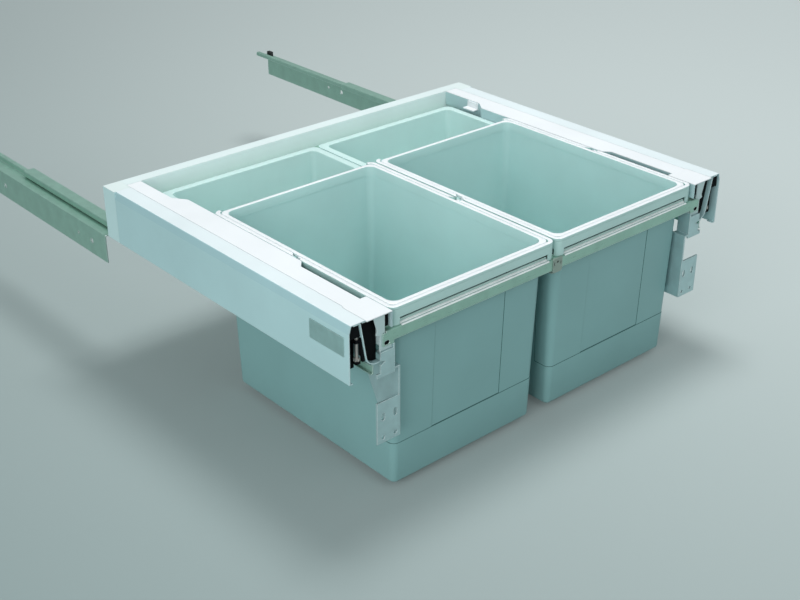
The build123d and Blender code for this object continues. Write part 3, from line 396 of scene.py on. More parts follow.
def make_materials(colours):
    """Every finish, by the record's slot name."""
    return {
        # Polyester powder coat on folded steel: satin, with a fine orange-peel skin.
        # Painted shade on the sides' shoulder, painted light on their level top, painted highlight
        # on the edges.
        "side_paint": grained(
            "powder_coated_steel_side", colours.coat, 0.42, 0.7, 0.02, edge_mm=0.9, highlight_share=0.7,
            painted_light_bands=((SHOULDER_FOOT, colours.shoulder), (SIDE_TOP, colours.lit_side_top))),
        # Painted highlight on the edges of the inner walls and the frame.
        "inner_wall_paint": grained(
            "powder_coated_steel_inner", colours.coat, 0.45, 0.7, 0.02, edge_mm=0.9, highlight_share=0.8),
        "frame_paint": grained(
            "powder_coated_steel_frame", "#b9cfd0", 0.45, 0.7, 0.02, edge_mm=0.9, highlight_share=0.8),
        # Painted light: the corner brackets paler above the sides' top.
        "bracket_paint": grained(
            "powder_coated_steel_corner", "#c6e4e5", 0.42, 0.7, 0.02, ((SIDE_TOP, "#dde9e8"),)),
        # Bare aluminium plate, finely brushed: duller and darker than the coat around it.
        "plate_metal": rolled("brushed_aluminium_plate", colours.plate, 0.45, "Y", 0.3, 0.2),
        # Zinc plated rolled steel: soft greenish shine with long rolling streaks.
        "zinc_steel": rolled("zinc_plated_steel_rail", colours.zinc, 0.35, "X", edge_mm=1.0),
        # Duller on the folded strip of the ledge, and painted paler than the rail as painted light.
        "strip_steel": rolled("zinc_plated_steel_strip", "#b2cec8", 0.35, "X", metallic=0.1),
        # And a painted highlight on the strip's bead and fold.
        "bead_steel": rolled(
            "zinc_plated_steel_bead", "#fbffff", 0.25, "X", edge_mm=0.1, metallic=0.0),
        # The same steel in the shades of clip, front brackets and screws.
        "clip_steel": rolled("zinc_plated_steel_clip", "#97a79d", 0.38, "X", 0.3, 0.2),
        "bracket_steel": rolled(
            "zinc_plated_steel_bracket", colours.bracket, 0.40, "Z", edge_mm=1.0),
        "screw_steel": rolled("zinc_plated_steel_screw", "#b9b4ae", 0.32, "Z", 0.3, 0.2),
        # Bare steel, drawn for the pins and polished for the balls.
        "pin_steel": rolled("bright_drawn_steel_pin", "#b5b5b5", 0.25, "X", 0.3, 0.1),
        "ball_steel": rolled("polished_bearing_steel", "#c9c9cb", 0.10, "Y", 0.3, 0.1),
        # Natural acetal, slightly waxy.
        "cage_plastic": grained("moulded_acetal", "#d6d6cb", 0.45, 0.5, 0.01),
        # Glass-filled nylon: near black with a dull mould skin, made darker still as painted shade
        # for the sides' hollow ends and the clip's openings.
        "fixing_plastic": grained(
            "moulded_glass_filled_nylon", "#05080c", 0.85, 0.4, 0.02, gloss=0.15),
        # Black rubber, matt.
        "stop_rubber": grained("moulded_rubber", "#242426", 0.75, 0.4, 0.03),
        # Moulded ABS, pale and smooth with an even satin sheen.
        # Painted shade: the cover strips a darker teal below their top.
        "cover_plastic": grained(
            "moulded_abs_cover", "#b4d0d3", 0.40, 0.5, 0.01, ((COVER_TOP, colours.cover),)),
        "ring_plastic": grained("moulded_abs_ring", colours.cover, 0.40, 0.5, 0.01),
        "handle_plastic": grained("moulded_abs_handle", colours.cover, 0.38, 0.5, 0.01),
        # Moulded polypropylene with an eroded mould texture: dull, with a broad soft sheen.
        # Painted shade: the outside darker than the inside of the same plastic.
        "bin_plastic": grained("moulded_polypropylene", colours.bin_body, 0.48, 0.8, 0.05),
        # The inside comes off a polished core: smoother, with more sheen. Its paler colour is
        # painted light; on the bag rings' lips it is painted shade.
        "bin_inside": grained("moulded_polypropylene_inside", colours.bin_inside, 0.40, 0.8, 0.015),
        # The same plastic, painted paler in the rear bins as painted light.
        "rear_bin": grained("moulded_polypropylene_pale", colours.rear_bin, 0.45, 0.8, 0.05),
        # The same plastic again, painted light on the rims' skirts and painted shade on the upright
        # sides of the pale bails and bands.
        "bin_rim": grained("moulded_polypropylene_rim", colours.rim, 0.42, 0.8, 0.02),
        # And a painted shadow on the narrow steps in a main bin's front.
        "bin_step": grained("moulded_polypropylene_step", "#35605e", 0.60, 0.8, 0.02, edge_mm=0.1),
        # Melamine faced board, pale, nearly smooth.
        # Painted shade: the board darker above the sides' top.
        "panel_board": grained(
            "melamine_faced_board", "#edfafa", 0.50, 1.2, 0.02, ((SIDE_TOP, "#dbe8e8"),)),
    }


def place_camera(focal):
    """Camera at the viewing angle, level from side to side."""
    camera = bpy.data.cameras.new("camera")
    camera.lens = focal
    camera.sensor_width = SENSOR
    camera.clip_start, camera.clip_end = CAMERA_CLIP
    holder = bpy.data.objects.new("camera", camera)
    bpy.context.scene.collection.objects.link(holder)
    holder.location = CAMERA_PLACE
    holder.rotation_euler = (math.radians(90 - CAMERA_DOWN), 0, math.radians(-CAMERA_RIGHT))
    bpy.context.scene.camera = holder


def place_lamp(name, location, target, size, watts):
    """Square soft lamp that points at a target."""
    lamp = bpy.data.lights.new(name, "AREA")
    lamp.size = size
    lamp.energy = watts
    holder = bpy.data.objects.new(name, lamp)
    bpy.context.scene.collection.objects.link(holder)
    holder.location = location
    holder.rotation_euler = (target - location).to_track_quat("-Z", "Y").to_euler()


def parts(items, kind):
    """Points, edges or linked edges of faces, edges or points: each once, in a fixed order."""
    return list(dict.fromkeys(part for item in items for part in getattr(item, kind)))


def move(bm, verts, shift):
    """Move points."""
    bmesh.ops.translate(bm, vec=shift, verts=verts)


def rounded(bm, width, depth, corner, level, segments=8):
    """Edges of a level rectangle with round corners."""
    corners = bmesh.ops.create_grid(bm, x_segments=1, y_segments=1, size=0.5)["verts"]
    bmesh.ops.scale(bm, vec=(width, depth, 1), verts=corners)
    move(bm, corners, (0, 0, level))
    arcs = bmesh.ops.bevel(
        bm, geom=corners, offset=corner, affect="VERTICES", segments=segments, profile=0.5,
        material=-1)
    face = arcs["verts"][0].link_faces[0]
    edges = list(face.edges)
    bmesh.ops.delete(bm, geom=[face], context="FACES_ONLY")
    return edges


def skin(bm, box, sections, closed=False):
    """Bridge outlines, each given as inset from a box, corner radius and level.

    Returns the outlines, and a list of faces for each bridge.
    """
    # Bridged far apart, because outlines that are level with each other join crosswise.
    apart = 10 * MM
    loops = [
        rounded(bm, box.width - 2 * inset, box.depth - 2 * inset, corner, -index * apart)
        for index, (inset, corner, level) in enumerate(sections)]
    pairs = zip(loops, loops[1:] + loops[:1] if closed else loops[1:])
    faces = [bmesh.ops.bridge_loops(bm, edges=one + two)["faces"] for one, two in pairs]
    for index, (edges, section) in enumerate(zip(loops, sections)):
        move(bm, parts(edges, "verts"), (0, 0, section[2] + index * apart))
    return loops, faces


def cut(bm, faces, point, normal):
    """Cut faces along a plane and return all of their pieces."""
    others = set(bm.faces) - set(faces)
    geom = [*faces, *parts(faces, "edges"), *parts(faces, "verts")]
    bmesh.ops.bisect_plane(bm, geom=geom, dist=ON_PLANE, plane_co=point, plane_no=normal)
    return [face for face in bm.faces if face not in others]


def border(faces):
    """Edges round a patch of faces."""
    return [edge for edge in parts(faces, "edges")
            if sum(face in faces for face in edge.link_faces) == 1]


def pierce(bm, faces, low, high):
    """Open a rectangular hole through a level wall, given and returned as its faces."""
    others = set(bm.faces) - set(faces)
    for axis in (0, 1):
        for value in (low[axis], high[axis]):
            faces = cut(bm, faces, AXES[axis] * value, AXES[axis])
    middles = {face: face.calc_center_median() for face in faces}
    hole = [face for face, middle in middles.items()
            if low[0] < middle.x < high[0] and low[1] < middle.y < high[1]]
    edges = border(hole)
    bmesh.ops.delete(bm, geom=hole, context="FACES_ONLY")
    bmesh.ops.bridge_loops(bm, edges=edges)
    return [face for face in bm.faces if face not in others]


def upright_circle(bm, radius, points, axis, filled=True):
    """Points of a circle at the origin, turned upright about an axis."""
    verts = bmesh.ops.create_circle(bm, cap_ends=filled, radius=radius, segments=points)["verts"]
    bmesh.ops.rotate(bm, cent=(0, 0, 0), matrix=Matrix.Rotation(math.pi / 2, 3, axis), verts=verts)
    return verts


def sink_round(bm, faces, centre, radius, depth):
    """Sink a round hollow into an upright wall that faces sideways. Returns the wall's faces."""
    others = set(bm.faces) - set(faces)
    reach = radius + HOLLOW_MARGIN
    for normal in AXES[1:]:
        for shift in (-reach, reach):
            faces = cut(bm, faces, centre + normal * shift, normal)
    patch = [face for face in faces if (face.calc_center_median() - centre).length < radius]
    edges = border(patch)
    bmesh.ops.delete(bm, geom=patch, context="FACES_ONLY")
    square = bmesh.ops.subdivide_edges(bm, edges=edges, cuts=HOLLOW_PARTS - 1)["geom_inner"]
    loops = [[edge for edge in parts(square, "link_edges") if edge.is_boundary]]
    for shift in (0, depth):
        ring = upright_circle(bm, radius, 4 * HOLLOW_PARTS, "Y", False)
        inward = Vector((-math.copysign(shift, centre.x), 0, 0))
        move(bm, ring, centre + inward)
        loops.append(parts(ring, "link_edges"))
    for one, two in zip(loops, loops[1:]):
        bmesh.ops.bridge_loops(bm, edges=one + two)
    bmesh.ops.edgeloop_fill(bm, edges=loops[-1])
    return [face for face in bm.faces if face not in others]


def thicken(bm, face, offset):
    """Extrude a face to a closed block. Returns the points and the faces of its new end."""
    block = bmesh.ops.extrude_face_region(bm, geom=[face], use_keep_orig=True)["geom"]
    verts = [item for item in block if isinstance(item, bmesh.types.BMVert)]
    move(bm, verts, offset)
    return verts, [item for item in block if isinstance(item, bmesh.types.BMFace)]


def soften(bm, edges, radius, segments=2):
    """Round edges off."""
    bmesh.ops.bevel(
        bm, geom=edges, offset=radius, affect="EDGES", segments=segments, profile=0.5, material=-1)


def step_in(bm, faces, width, depth):
    """Inset faces and sink them. Returns the faces round them."""
    return bmesh.ops.inset_region(
        bm, faces=faces, thickness=width, depth=-depth, use_even_offset=True)["faces"]


def slab(bm, corners, thickness, edge, place):
    """Upright slab with its front's edges rounded, from corners as inset and depth in mm."""
    done = set(bm.verts)
    front = bm.faces.new([bm.verts.new((inset * MM, 0, -drop * MM)) for inset, drop in corners])
    thicken(bm, front, (0, thickness, 0))
    soften(bm, list(front.edges), edge)
    move(bm, [vert for vert in bm.verts if vert not in done], place)


def make_piece(bm, name, body, finishes, nodes=()):
    """Turn a bmesh into a piece that rides on a body and stands for CAD nodes."""
    bmesh.ops.remove_doubles(bm, verts=bm.verts, dist=SAME)
    bmesh.ops.recalc_face_normals(bm, faces=bm.faces)
    for face in bm.faces:
        face.smooth = True
    mesh = bpy.data.meshes.new(name)
    bm.to_mesh(mesh)
    bm.free()
    mesh.set_sharp_from_angle(angle=SHARP)
    for finish in finishes:
        mesh.materials.append(bpy.data.materials[finish])
    piece = bpy.data.objects.new(name, mesh)
    bpy.context.scene.collection.objects.link(piece)
    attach(piece, body)
    if nodes:
        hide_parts(*nodes)


def bin_box(node):
    """Middle, width, depth, top and underside of a bin's rim box."""
    low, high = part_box(node)
    return Box((low + high) / 2, high.x - low.x, high.y - low.y, high.z, low.z)


def tub_sections(sizes, height, inset, corner, rim_corner, skirt):
    """Inside, rim and outside of a drafted tub, from its inner floor to its outer floor."""
    slope = math.tan(sizes.draft)
    floor = height - sizes.base
    inner = inset + sizes.wall
    inner_foot = inner + slope * floor
    inner_corner = corner - sizes.wall
    foot_corner = max(inner_corner - slope * floor, LEAST_INSIDE)
    outer_foot = inset + slope * height
    outer_corner = max(corner - slope * height, LEAST_OUTSIDE)
    foot, soft, wall = FOOT_ROUND, SKIRT_ROUND, sizes.rim_wall
    inside = [(inner_foot + away * foot, foot_corner - away * foot, along * foot - floor)
              for away, along in QUARTER]
    inside += [
        (inner + shift * MM, inner_corner - shift * MM, level * MM) for shift, level in MOUTH]
    rim = [(away * MM, rim_corner - away * MM, -along * MM) for away, along in QUARTER] + [
        (0, rim_corner, -skirt + soft),
        (soft, rim_corner - soft, -skirt),
        (wall - soft, rim_corner - wall + soft, -skirt),
        (wall, rim_corner - wall, -skirt + soft),
        (wall, rim_corner - wall, -sizes.deck),
    ]
    outside = [(inset + slope * drop, corner - slope * drop, -drop)
               for drop in (sizes.deck, sizes.zone_foot) if drop < height]
    outside.append((outer_foot - slope * foot, outer_corner, foot - height))
    outside += [(outer_foot + away * foot, outer_corner - away * foot, along * foot - height)
                for away, along in LOW_QUARTER]
    return inside, rim, outside


def lower_feet(bm, box, sizes, faces):
    """Lengthen the skirt at its four corners."""
    side = box.width / 2 - sizes.foot_length
    front, rear = sizes.front_foot - box.depth / 2, box.depth / 2 - sizes.foot_length
    marks = [(x, AXES[0]) for x in (side, -side, side - FOOT_SLOPE, FOOT_SLOPE - side)]
    marks += [(y, AXES[1]) for y in (front, front + FOOT_SLOPE, rear, rear - FOOT_SLOPE)]
    for shift, normal in marks:
        faces = cut(bm, faces, normal * shift, normal)
    feet = [vert for vert in parts(faces, "verts") if vert.co.z < SKIRT_EDGE - sizes.skirt
            and abs(vert.co.x) > side - BESIDE
            and not front + BESIDE < vert.co.y < rear - BESIDE]
    move(bm, feet, (0, 0, sizes.skirt - sizes.foot))


def sink_front(bm, box, sizes, faces):
    """Step the tub's front zone in, and its middle panel once more, with a painted shadow on the
    steps.
    """
    back = sizes.zone_reach - box.depth / 2
    zone = [face for face in cut(bm, faces, AXES[1] * back, AXES[1])
            if face.calc_center_median().y < back]
    steps = step_in(bm, zone, sizes.step, sizes.sink)
    for x in (-sizes.panel_half, sizes.panel_half):
        zone = cut(bm, zone, AXES[0] * x, AXES[0])
    panel = [face for face in zone if abs(face.calc_center_median().x) < sizes.panel_half / 2]
    for face in steps + step_in(bm, panel, sizes.step, sizes.sink):
        face.material_index = STEP_SHADOW


def flat_hoop(bm, box, sizes, foot):
    """Hoop of the bail's section around the rim."""
    corner, wide, top, soft = sizes.rim_corner, sizes.bail_width, sizes.rim_raise, EDGE_ROUND
    faces = skin(bm, box, [
        (0, corner, foot), (0, corner, top - soft),
        (soft / 3, corner - soft / 3, top - soft / 3), (soft, corner - soft, top),
        (wide - soft, corner - wide + soft, top),
        (wide - soft / 3, corner - wide + soft / 3, top - soft / 3),
        (wide, corner - wide, top - soft), (wide, corner - wide, foot)], closed=True)[1]
    return sum(faces, [])


def keep_half(bm, faces, width, start, slant, keep):
    """Keep the hoop's half on one side of its cut, close its ends and round their edges."""
    for side in (-1, 1):
        half = [face for face in faces if face.calc_center_median().x * side > 0]
        rest = [face for face in faces if face.calc_center_median().x * side <= 0]
        faces = cut(bm, half, (side * width / 2, start, 0), (side * slant, 1, 0)) + rest
    beyond = []
    for face in faces:
        middle = face.calc_center_median()
        edge = start + slant * (width / 2 - abs(middle.x))
        if (middle.y - edge) * keep < 0:
            beyond.append(face)
    bmesh.ops.delete(bm, geom=beyond, context="FACES")
    ends = [edge for edge in bm.edges if edge.is_boundary]
    caps = bmesh.ops.holes_fill(bm, edges=ends, sides=0)["faces"]
    upright = [edge for face in caps for edge in face.edges
               if abs(edge.verts[0].co.z - edge.verts[1].co.z) > END_ROUND]
    soften(bm, upright, END_ROUND, segments=4)


def paint_upright_shade(bm, tops, sides):
    """Give the upright faces of what has one finish another: painted shade on their sides."""
    bm.normal_update()
    for face in bm.faces:
        if face.material_index == tops and abs(face.normal.z) < UPRIGHT:
            face.material_index = sides


class WASTEBIN_OT_main_bins(bpy.types.Operator):
    """Model the two main bins with skirted rim, corner feet, stepped front and pivot slots"""
    bl_idname = "wastebin.main_bins"
    bl_label = "Main bins"

    def execute(self, context):
        sizes = context.scene.wastebin_sizes
        for side in SIDES:
            node = f"{side}_main_bin"
            box = bin_box(node)
            deck = box.top - sizes.rim_raise
            bm = bmesh.new()
            inside, rim, outside = tub_sections(
                sizes, deck - box.bottom, sizes.body_inset, sizes.body_corner, sizes.rim_corner,
                sizes.skirt)
            loops, faces = skin(bm, box, inside + rim + outside)
            bmesh.ops.edgeloop_fill(bm, edges=loops[0], mat_nr=INSIDE)
            bmesh.ops.edgeloop_fill(bm, edges=loops[-1])
            first = len(inside) - 1
            last = first + len(rim)
            for index, bridge in enumerate(faces):
                for face in bridge:
                    face.material_index = (
                        INSIDE if index < first else RIM if index < last else BODY)
            lower_feet(bm, box, sizes, sum(faces[first + SKIRT_OUTSIDE:first + SKIRT_INSIDE], []))
            sink_front(bm, box, sizes, faces[last + 1])
            outer = box.width / 2 - sizes.rim_wall - sizes.ear_slot / 2
            inner = outer - sizes.ear_sheet - sizes.ear_slot
            pivot = sizes.pivot_setback - box.depth / 2
            walls, skirt = faces[first] + faces[last], faces[first + SKIRT_OUTSIDE]
            for end in (-1, 1):
                low, high = sorted((end * inner, end * outer))
                walls = pierce(bm, walls, (low, pivot - SLOT_AHEAD), (high, pivot + SLOT_BEHIND))
            for end in (-1, 1):
                spot = Vector((end * box.width / 2, pivot, -sizes.pivot_drop))
                skirt = sink_round(bm, skirt, spot, sizes.hollow_radius, sizes.hollow_depth)
            for face in skirt:
                face.material_index = RIM
            band = flat_hoop(bm, box, sizes, BAND_FOOT)
            for face in band:
                face.material_index = TOP
            slant = sizes.band_slant / sizes.bail_width
            keep_half(bm, band, box.width, sizes.band_start - box.depth / 2, slant, 1)
            # Painted shade on the upright sides of the raised band.
            paint_upright_shade(bm, TOP, RIM)
            move(bm, bm.verts, (box.centre.x, box.centre.y, deck))
            make_piece(
                bm, f"{side}_main_bin_body", node,
                ["moulded_polypropylene", "moulded_abs_ring", "moulded_polypropylene_inside",
                 "moulded_polypropylene_rim", "moulded_polypropylene_step"], [node])
        return {"FINISHED"}


class WASTEBIN_OT_bag_rings(bpy.types.Operator):
    """Model the rings that hold the bags, with rounded edges and a thin lip"""
    bl_idname = "wastebin.bag_rings"
    bl_label = "Bag rings"

    def execute(self, context):
        sizes = context.scene.wastebin_sizes
        slope = math.tan(sizes.draft)
        outer, outer_corner = sizes.bail_width + sizes.seam, sizes.ring_corner
        lip = sizes.body_inset + sizes.wall + sizes.ring_fit
        inner = lip + sizes.ring_wall
        lip_corner = sizes.body_corner - sizes.wall - sizes.ring_fit
        corner = lip_corner - sizes.ring_wall
        gap, foot, soft, crown = sizes.bail_gap, -sizes.ring_lip, EDGE_ROUND, sizes.rim_raise
        crest = [
            (outer, outer_corner, gap), (outer, outer_corner, crown - soft),
            (outer + soft / 3, outer_corner - soft / 3, crown - soft / 3),
            (outer + soft, outer_corner - soft, crown),
            (inner - 2 * soft, corner + 2 * soft, crown),
        ]
        hollow = [
            (inner - soft / 2, corner + soft / 2, crown - soft / 2),
            (inner, corner, crown - 2 * soft), (inner, corner, foot),
            (lip + slope * sizes.ring_lip, lip_corner, foot), (lip, lip_corner, gap),
        ]
        for side in SIDES:
            node = f"{side}_bag_ring"
            box = bin_box(f"{side}_main_bin")
            bm = bmesh.new()
            faces = skin(bm, box, crest + hollow, closed=True)[1]
            # Painted shade: the ring's lip and inner wall take the bins' inside colour, darker than
            # its crown.
            for face in sum(faces[len(crest):-2], []):
                face.material_index = 1
            move(bm, bm.verts, (box.centre.x, box.centre.y, box.top - crown))
            make_piece(bm, f"{node}_moulding", node,
                       ["moulded_abs_ring", "moulded_polypropylene_inside"], [node])
        return {"FINISHED"}


class WASTEBIN_OT_bails(bpy.types.Operator):
    """Model the flat bails with rounded arms and an ear at each end"""
    bl_idname = "wastebin.bails"
    bl_label = "Bails"

    def execute(self, context):
        sizes = context.scene.wastebin_sizes
        lift = sizes.rim_raise + sizes.pivot_drop - sizes.ear_radius
        for side in SIDES:
            node = f"{side}_handle"
            box = bin_box(f"{side}_main_bin")
            pivot = sizes.pivot_setback - box.depth / 2
            bm = bmesh.new()
            hoop = flat_hoop(bm, box, sizes, sizes.bail_gap)
            keep_half(bm, hoop, box.width, pivot - sizes.arm_end, 0, -1)
            # Painted shade on the upright sides of the bail.
            paint_upright_shade(bm, 0, 1)
            middle = box.width / 2 - sizes.rim_wall - sizes.ear_slot - sizes.ear_sheet / 2
            for end in (-1, 1):
                ear = upright_circle(bm, sizes.ear_radius, EAR_POINTS, "Y")
                upper = [vert for vert in ear if vert.co.z > -BESIDE]
                move(bm, upper, (0, 0, lift))
                ear += thicken(bm, ear[0].link_faces[0], (sizes.ear_sheet, 0, 0))[0]
                place = (end * middle - sizes.ear_sheet / 2, pivot, -sizes.pivot_drop)
                move(bm, ear, place)
            move(bm, bm.verts, (box.centre.x, box.centre.y, box.top - sizes.rim_raise))
            make_piece(bm, f"{side}_bail", node,
                       ["moulded_abs_handle", "moulded_polypropylene_rim"], [node])
        return {"FINISHED"}


class WASTEBIN_OT_rear_bins(bpy.types.Operator):
    """Model the two shallow rear bins"""
    bl_idname = "wastebin.rear_bins"
    bl_label = "Rear bins"

    def execute(self, context):
        sizes = context.scene.wastebin_sizes
        for side in SIDES:
            node = f"{side}_rear_bin"
            box = bin_box(node)
            bm = bmesh.new()
            sections = tub_sections(
                sizes, box.top - box.bottom, sizes.rear_inset, sizes.rear_corner,
                sizes.rear_rim_corner, sizes.rear_skirt)
            loops = skin(bm, box, sum(sections, []))[0]
            for end in (loops[0], loops[-1]):
                bmesh.ops.edgeloop_fill(bm, edges=end)
            move(bm, bm.verts, (box.centre.x, box.centre.y, box.top))
            make_piece(
                bm, f"{side}_rear_tub", node, ["moulded_polypropylene_pale"], [node])
        return {"FINISHED"}


class WASTEBIN_OT_end_plugs(bpy.types.Operator):
    """Close the drawer sides' hollow front ends with set-back black mouldings, partly painted shade
    """
    bl_idname = "wastebin.end_plugs"
    bl_label = "End plugs"

    def execute(self, context):
        low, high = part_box("left_side_profile")
        inset, drop, wide, tall, forward, thickness = [value * MM for value in RAIL_PIN]
        for side, sign in SIDES.items():
            bm = bmesh.new()
            for corners, setback in END_PLUGS:
                slab(bm, corners, PLUG_DEPTH, PLUG_EDGE, (low.x, low.y + setback * MM, high.z))
            pin = upright_circle(bm, tall, PIN_POINTS, "X")
            for end in (-1, 1):
                half = [vert for vert in pin if vert.co.x * end > BESIDE]
                move(bm, half, (end * (wide - tall), 0, 0))
            pin += thicken(bm, pin[0].link_faces[0], (0, thickness, 0))[0]
            place = (low.x + inset, low.y + forward, high.z - drop)
            move(bm, pin, place)
            bmesh.ops.scale(bm, vec=(-sign, 1, 1), verts=bm.verts)
            make_piece(
                bm, f"{side}_end_plug", "drawer", ["moulded_glass_filled_nylon"])
        return {"FINISHED"}


class WASTEBIN_OT_ledge_strips(bpy.types.Operator):
    """Model the folded strips on the front rail's ledge, between each main bin's corner feet"""
    bl_idname = "wastebin.ledge_strips"
    bl_label = "Ledge strips"

    def execute(self, context):
        sizes = context.scene.wastebin_sizes
        low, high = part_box("left_side_profile")
        for side in SIDES:
            box = bin_box(f"{side}_main_bin")
            bm = bmesh.new()
            start = -box.width / 2 + sizes.foot_length + STRIP_GAP
            path = [bm.verts.new((start, low.y + setback * MM, high.z - drop * MM))
                    for setback, drop in LEDGE_STRIP]
            folds = [bm.edges.new(pair) for pair in zip(path, path[1:])]
            sheet = bmesh.ops.extrude_edge_only(bm, edges=folds)["geom"]
            moved = [item for item in sheet if isinstance(item, bmesh.types.BMVert)]
            move(bm, moved, (-2 * start, 0, 0))
            bmesh.ops.recalc_face_normals(bm, faces=bm.faces)
            bmesh.ops.solidify(bm, geom=bm.faces, thickness=STRIP_SHEET)
            for face in bm.faces:
                setback = (face.calc_center_median().y - low.y) / MM
                plain = any(near <= setback <= far for near, far in PLAIN_STRIP)
                face.material_index = int(plain)
            move(bm, bm.verts, (box.centre.x, 0, 0))
            make_piece(bm, f"{side}_ledge_strip", "drawer",
                       ["zinc_plated_steel_bead", "zinc_plated_steel_strip"])
        return {"FINISHED"}


class WASTEBIN_OT_clip_pad(bpy.types.Operator):
    """Model the black pad, a painted shade, that shows in the openings of the centre clip"""
    bl_idname = "wastebin.clip_pad"
    bl_label = "Clip pad"

    def execute(self, context):
        low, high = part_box("left_side_profile")
        half, upper, lower, setback, thickness, edge = CLIP_PAD
        bm = bmesh.new()
        slab(bm, ((-half, upper), (half, upper), (half, lower), (-half, lower)),
             thickness * MM, edge * MM, (0, low.y + setback * MM, high.z))
        make_piece(
            bm, "centre_clip_pad", "drawer", ["moulded_glass_filled_nylon"])
        return {"FINISHED"}


class WASTEBIN_OT_rear_fittings(bpy.types.Operator):
    """Model the pale fittings on the rear ends of the cover strips: an upright tab with a foot"""
    bl_idname = "wastebin.rear_fittings"
    bl_label = "Rear fittings"

    def execute(self, context):
        low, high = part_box("left_side_profile")
        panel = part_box("back_panel")[0].y
        back, rim, front, rear, crown, foot, tab, sole, soft = [
            value * MM for value in REAR_FITTING]
        bottom = -foot - sole
        for side, sign in SIDES.items():
            bm = bmesh.new()
            for far, top in ((back + tab, -crown), (rim, -foot)):
                block = bmesh.ops.create_cube(bm, size=1)["verts"]
                bmesh.ops.scale(bm, vec=(far - back, front - rear, top - bottom), verts=block)
                place = (low.x + (back + far) / 2, panel - (front + rear) / 2,
                         high.z + (bottom + top) / 2)
                move(bm, block, place)
            corners = []
            for edge in bm.edges:
                one, two = [vert.co for vert in edge.verts]
                if abs(one.y - two.y) < SAME and max(one.z, two.z) > high.z - crown - BESIDE:
                    corners.append(edge)
            soften(bm, corners, soft)
            bmesh.ops.scale(bm, vec=(-sign, 1, 1), verts=bm.verts)
            make_piece(bm, f"{side}_rear_fitting", "drawer", ["moulded_abs_ring"])
        return {"FINISHED"}


class WASTEBIN_OT_name_plates(bpy.types.Operator):
    """Model the bare plates on the drawer sides, with a sunk field inside a border"""
    bl_idname = "wastebin.name_plates"
    bl_label = "Name plates"

    def execute(self, context):
        sizes = context.scene.wastebin_sizes
        for side, sign in SIDES.items():
            node = f"{side}_name_plate"
            low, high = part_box(node)
            centre, size = (low + high) / 2, high - low
            bm = bmesh.new()
            edges = rounded(bm, size.y, size.z, sizes.plate_corner, 0, PLATE_SEGMENTS)
            back = bmesh.ops.edgeloop_fill(bm, edges=edges)["faces"][0]
            front = thicken(bm, back, (0, 0, size.x))[1]
            step_in(bm, front, PLATE_STEP, 0)
            step_in(bm, front, sizes.plate_border, 0)
            step_in(bm, front, PLATE_SLOPE, PLATE_STEP)
            turn = Matrix(((0, 0, sign), (1, 0, 0), (0, 1, 0)))
            bmesh.ops.transform(bm, matrix=turn.to_4x4(), verts=bm.verts)
            start = high.x if side == "left" else low.x
            move(bm, bm.verts, (start, centre.y, centre.z))
            make_piece(
                bm, f"{side}_plate", "drawer", ["brushed_aluminium_plate"], [node])
        return {"FINISHED"}


class WASTEBIN_OT_stage(bpy.types.Operator):
    """Add the floor, the lamps, the world and the camera"""
    bl_idname = "wastebin.stage"
    bl_label = "Stage"

    def execute(self, context):
        stage = context.scene.wastebin_stage
        colours = context.scene.wastebin_colours
        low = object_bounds()[0]
        bm = bmesh.new()
        bmesh.ops.create_grid(bm, x_segments=1, y_segments=1, size=FLOOR_HALF)
        move(bm, bm.verts, (0, 0, low.z - stage.floor_gap))
        mesh = bpy.data.meshes.new("floor")
        bm.to_mesh(mesh)
        bm.free()
        floor = bpy.data.objects.new("floor", mesh)
        context.scene.collection.objects.link(floor)
        mesh.materials.append(floor_paint(colours))
        floor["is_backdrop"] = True
        for name, (shift, size) in LAMPS.items():
            place_lamp(name, MIDDLE + Vector(shift), MIDDLE, size, getattr(stage, name))
        world = bpy.data.worlds.new("studio")
        world.use_nodes = True
        tree = world.node_tree
        tree.nodes.clear()
        light = add_node(tree, "Background", {"Color": colours.world, "Strength": stage.world})
        add_node(tree, "OutputWorld", {"Surface": light.outputs[0]})
        context.scene.world = world
        context.scene.view_settings.view_transform = "Standard"
        place_camera(stage.focal)
        return {"FINISHED"}


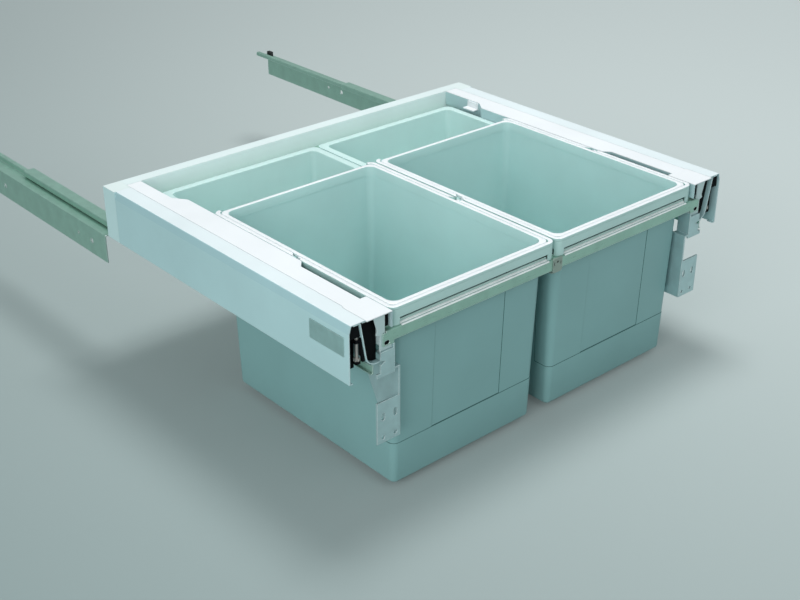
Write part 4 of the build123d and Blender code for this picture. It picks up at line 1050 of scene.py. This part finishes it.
class WASTEBIN_OT_finishes(bpy.types.Operator):
    """Give every node of the frame its finish"""
    bl_idname = "wastebin.finishes"
    bl_label = "Finishes"

    def execute(self, context):
        finishes = make_materials(context.scene.wastebin_colours)
        slots = {row["node"]: row["material_slot"] for row in frame["record"]["subparts"]}
        for name, node in frame["nodes"].items():
            node.data.materials.clear()
            node.data.materials.append(finishes[slots[name]])
        return {"FINISHED"}


class WASTEBIN_PT_panel(bpy.types.Panel):
    """Buttons of the waste bin"""
    bl_label = "Waste Bin"
    bl_space_type = "VIEW_3D"
    bl_region_type = "UI"
    bl_category = "Waste Bin"

    def draw(self, context):
        for operator in OPERATORS:
            self.layout.operator(operator.bl_idname)


OPERATORS = (
    WASTEBIN_OT_finishes, WASTEBIN_OT_main_bins, WASTEBIN_OT_bag_rings, WASTEBIN_OT_bails,
    WASTEBIN_OT_rear_bins, WASTEBIN_OT_end_plugs, WASTEBIN_OT_ledge_strips, WASTEBIN_OT_clip_pad,
    WASTEBIN_OT_rear_fittings, WASTEBIN_OT_name_plates, WASTEBIN_OT_stage)
CLASSES = (WasteBinColours, WasteBinSizes, WasteBinStage, *OPERATORS, WASTEBIN_PT_panel)


def register():
    for item in CLASSES:
        bpy.utils.register_class(item)
    bpy.types.Scene.wastebin_colours = bpy.props.PointerProperty(type=WasteBinColours)
    bpy.types.Scene.wastebin_sizes = bpy.props.PointerProperty(type=WasteBinSizes)
    bpy.types.Scene.wastebin_stage = bpy.props.PointerProperty(type=WasteBinStage)


def unregister():
    del bpy.types.Scene.wastebin_stage
    del bpy.types.Scene.wastebin_sizes
    del bpy.types.Scene.wastebin_colours
    for item in reversed(CLASSES):
        bpy.utils.unregister_class(item)


def main():
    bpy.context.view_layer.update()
    register()
    bpy.ops.wastebin.finishes()
    bpy.ops.wastebin.main_bins()
    bpy.ops.wastebin.bag_rings()
    bpy.ops.wastebin.bails()
    bpy.ops.wastebin.rear_bins()
    bpy.ops.wastebin.end_plugs()
    bpy.ops.wastebin.ledge_strips()
    bpy.ops.wastebin.clip_pad()
    bpy.ops.wastebin.rear_fittings()
    bpy.ops.wastebin.name_plates()
    bpy.ops.wastebin.stage()


if __name__ == "__main__":
    main()
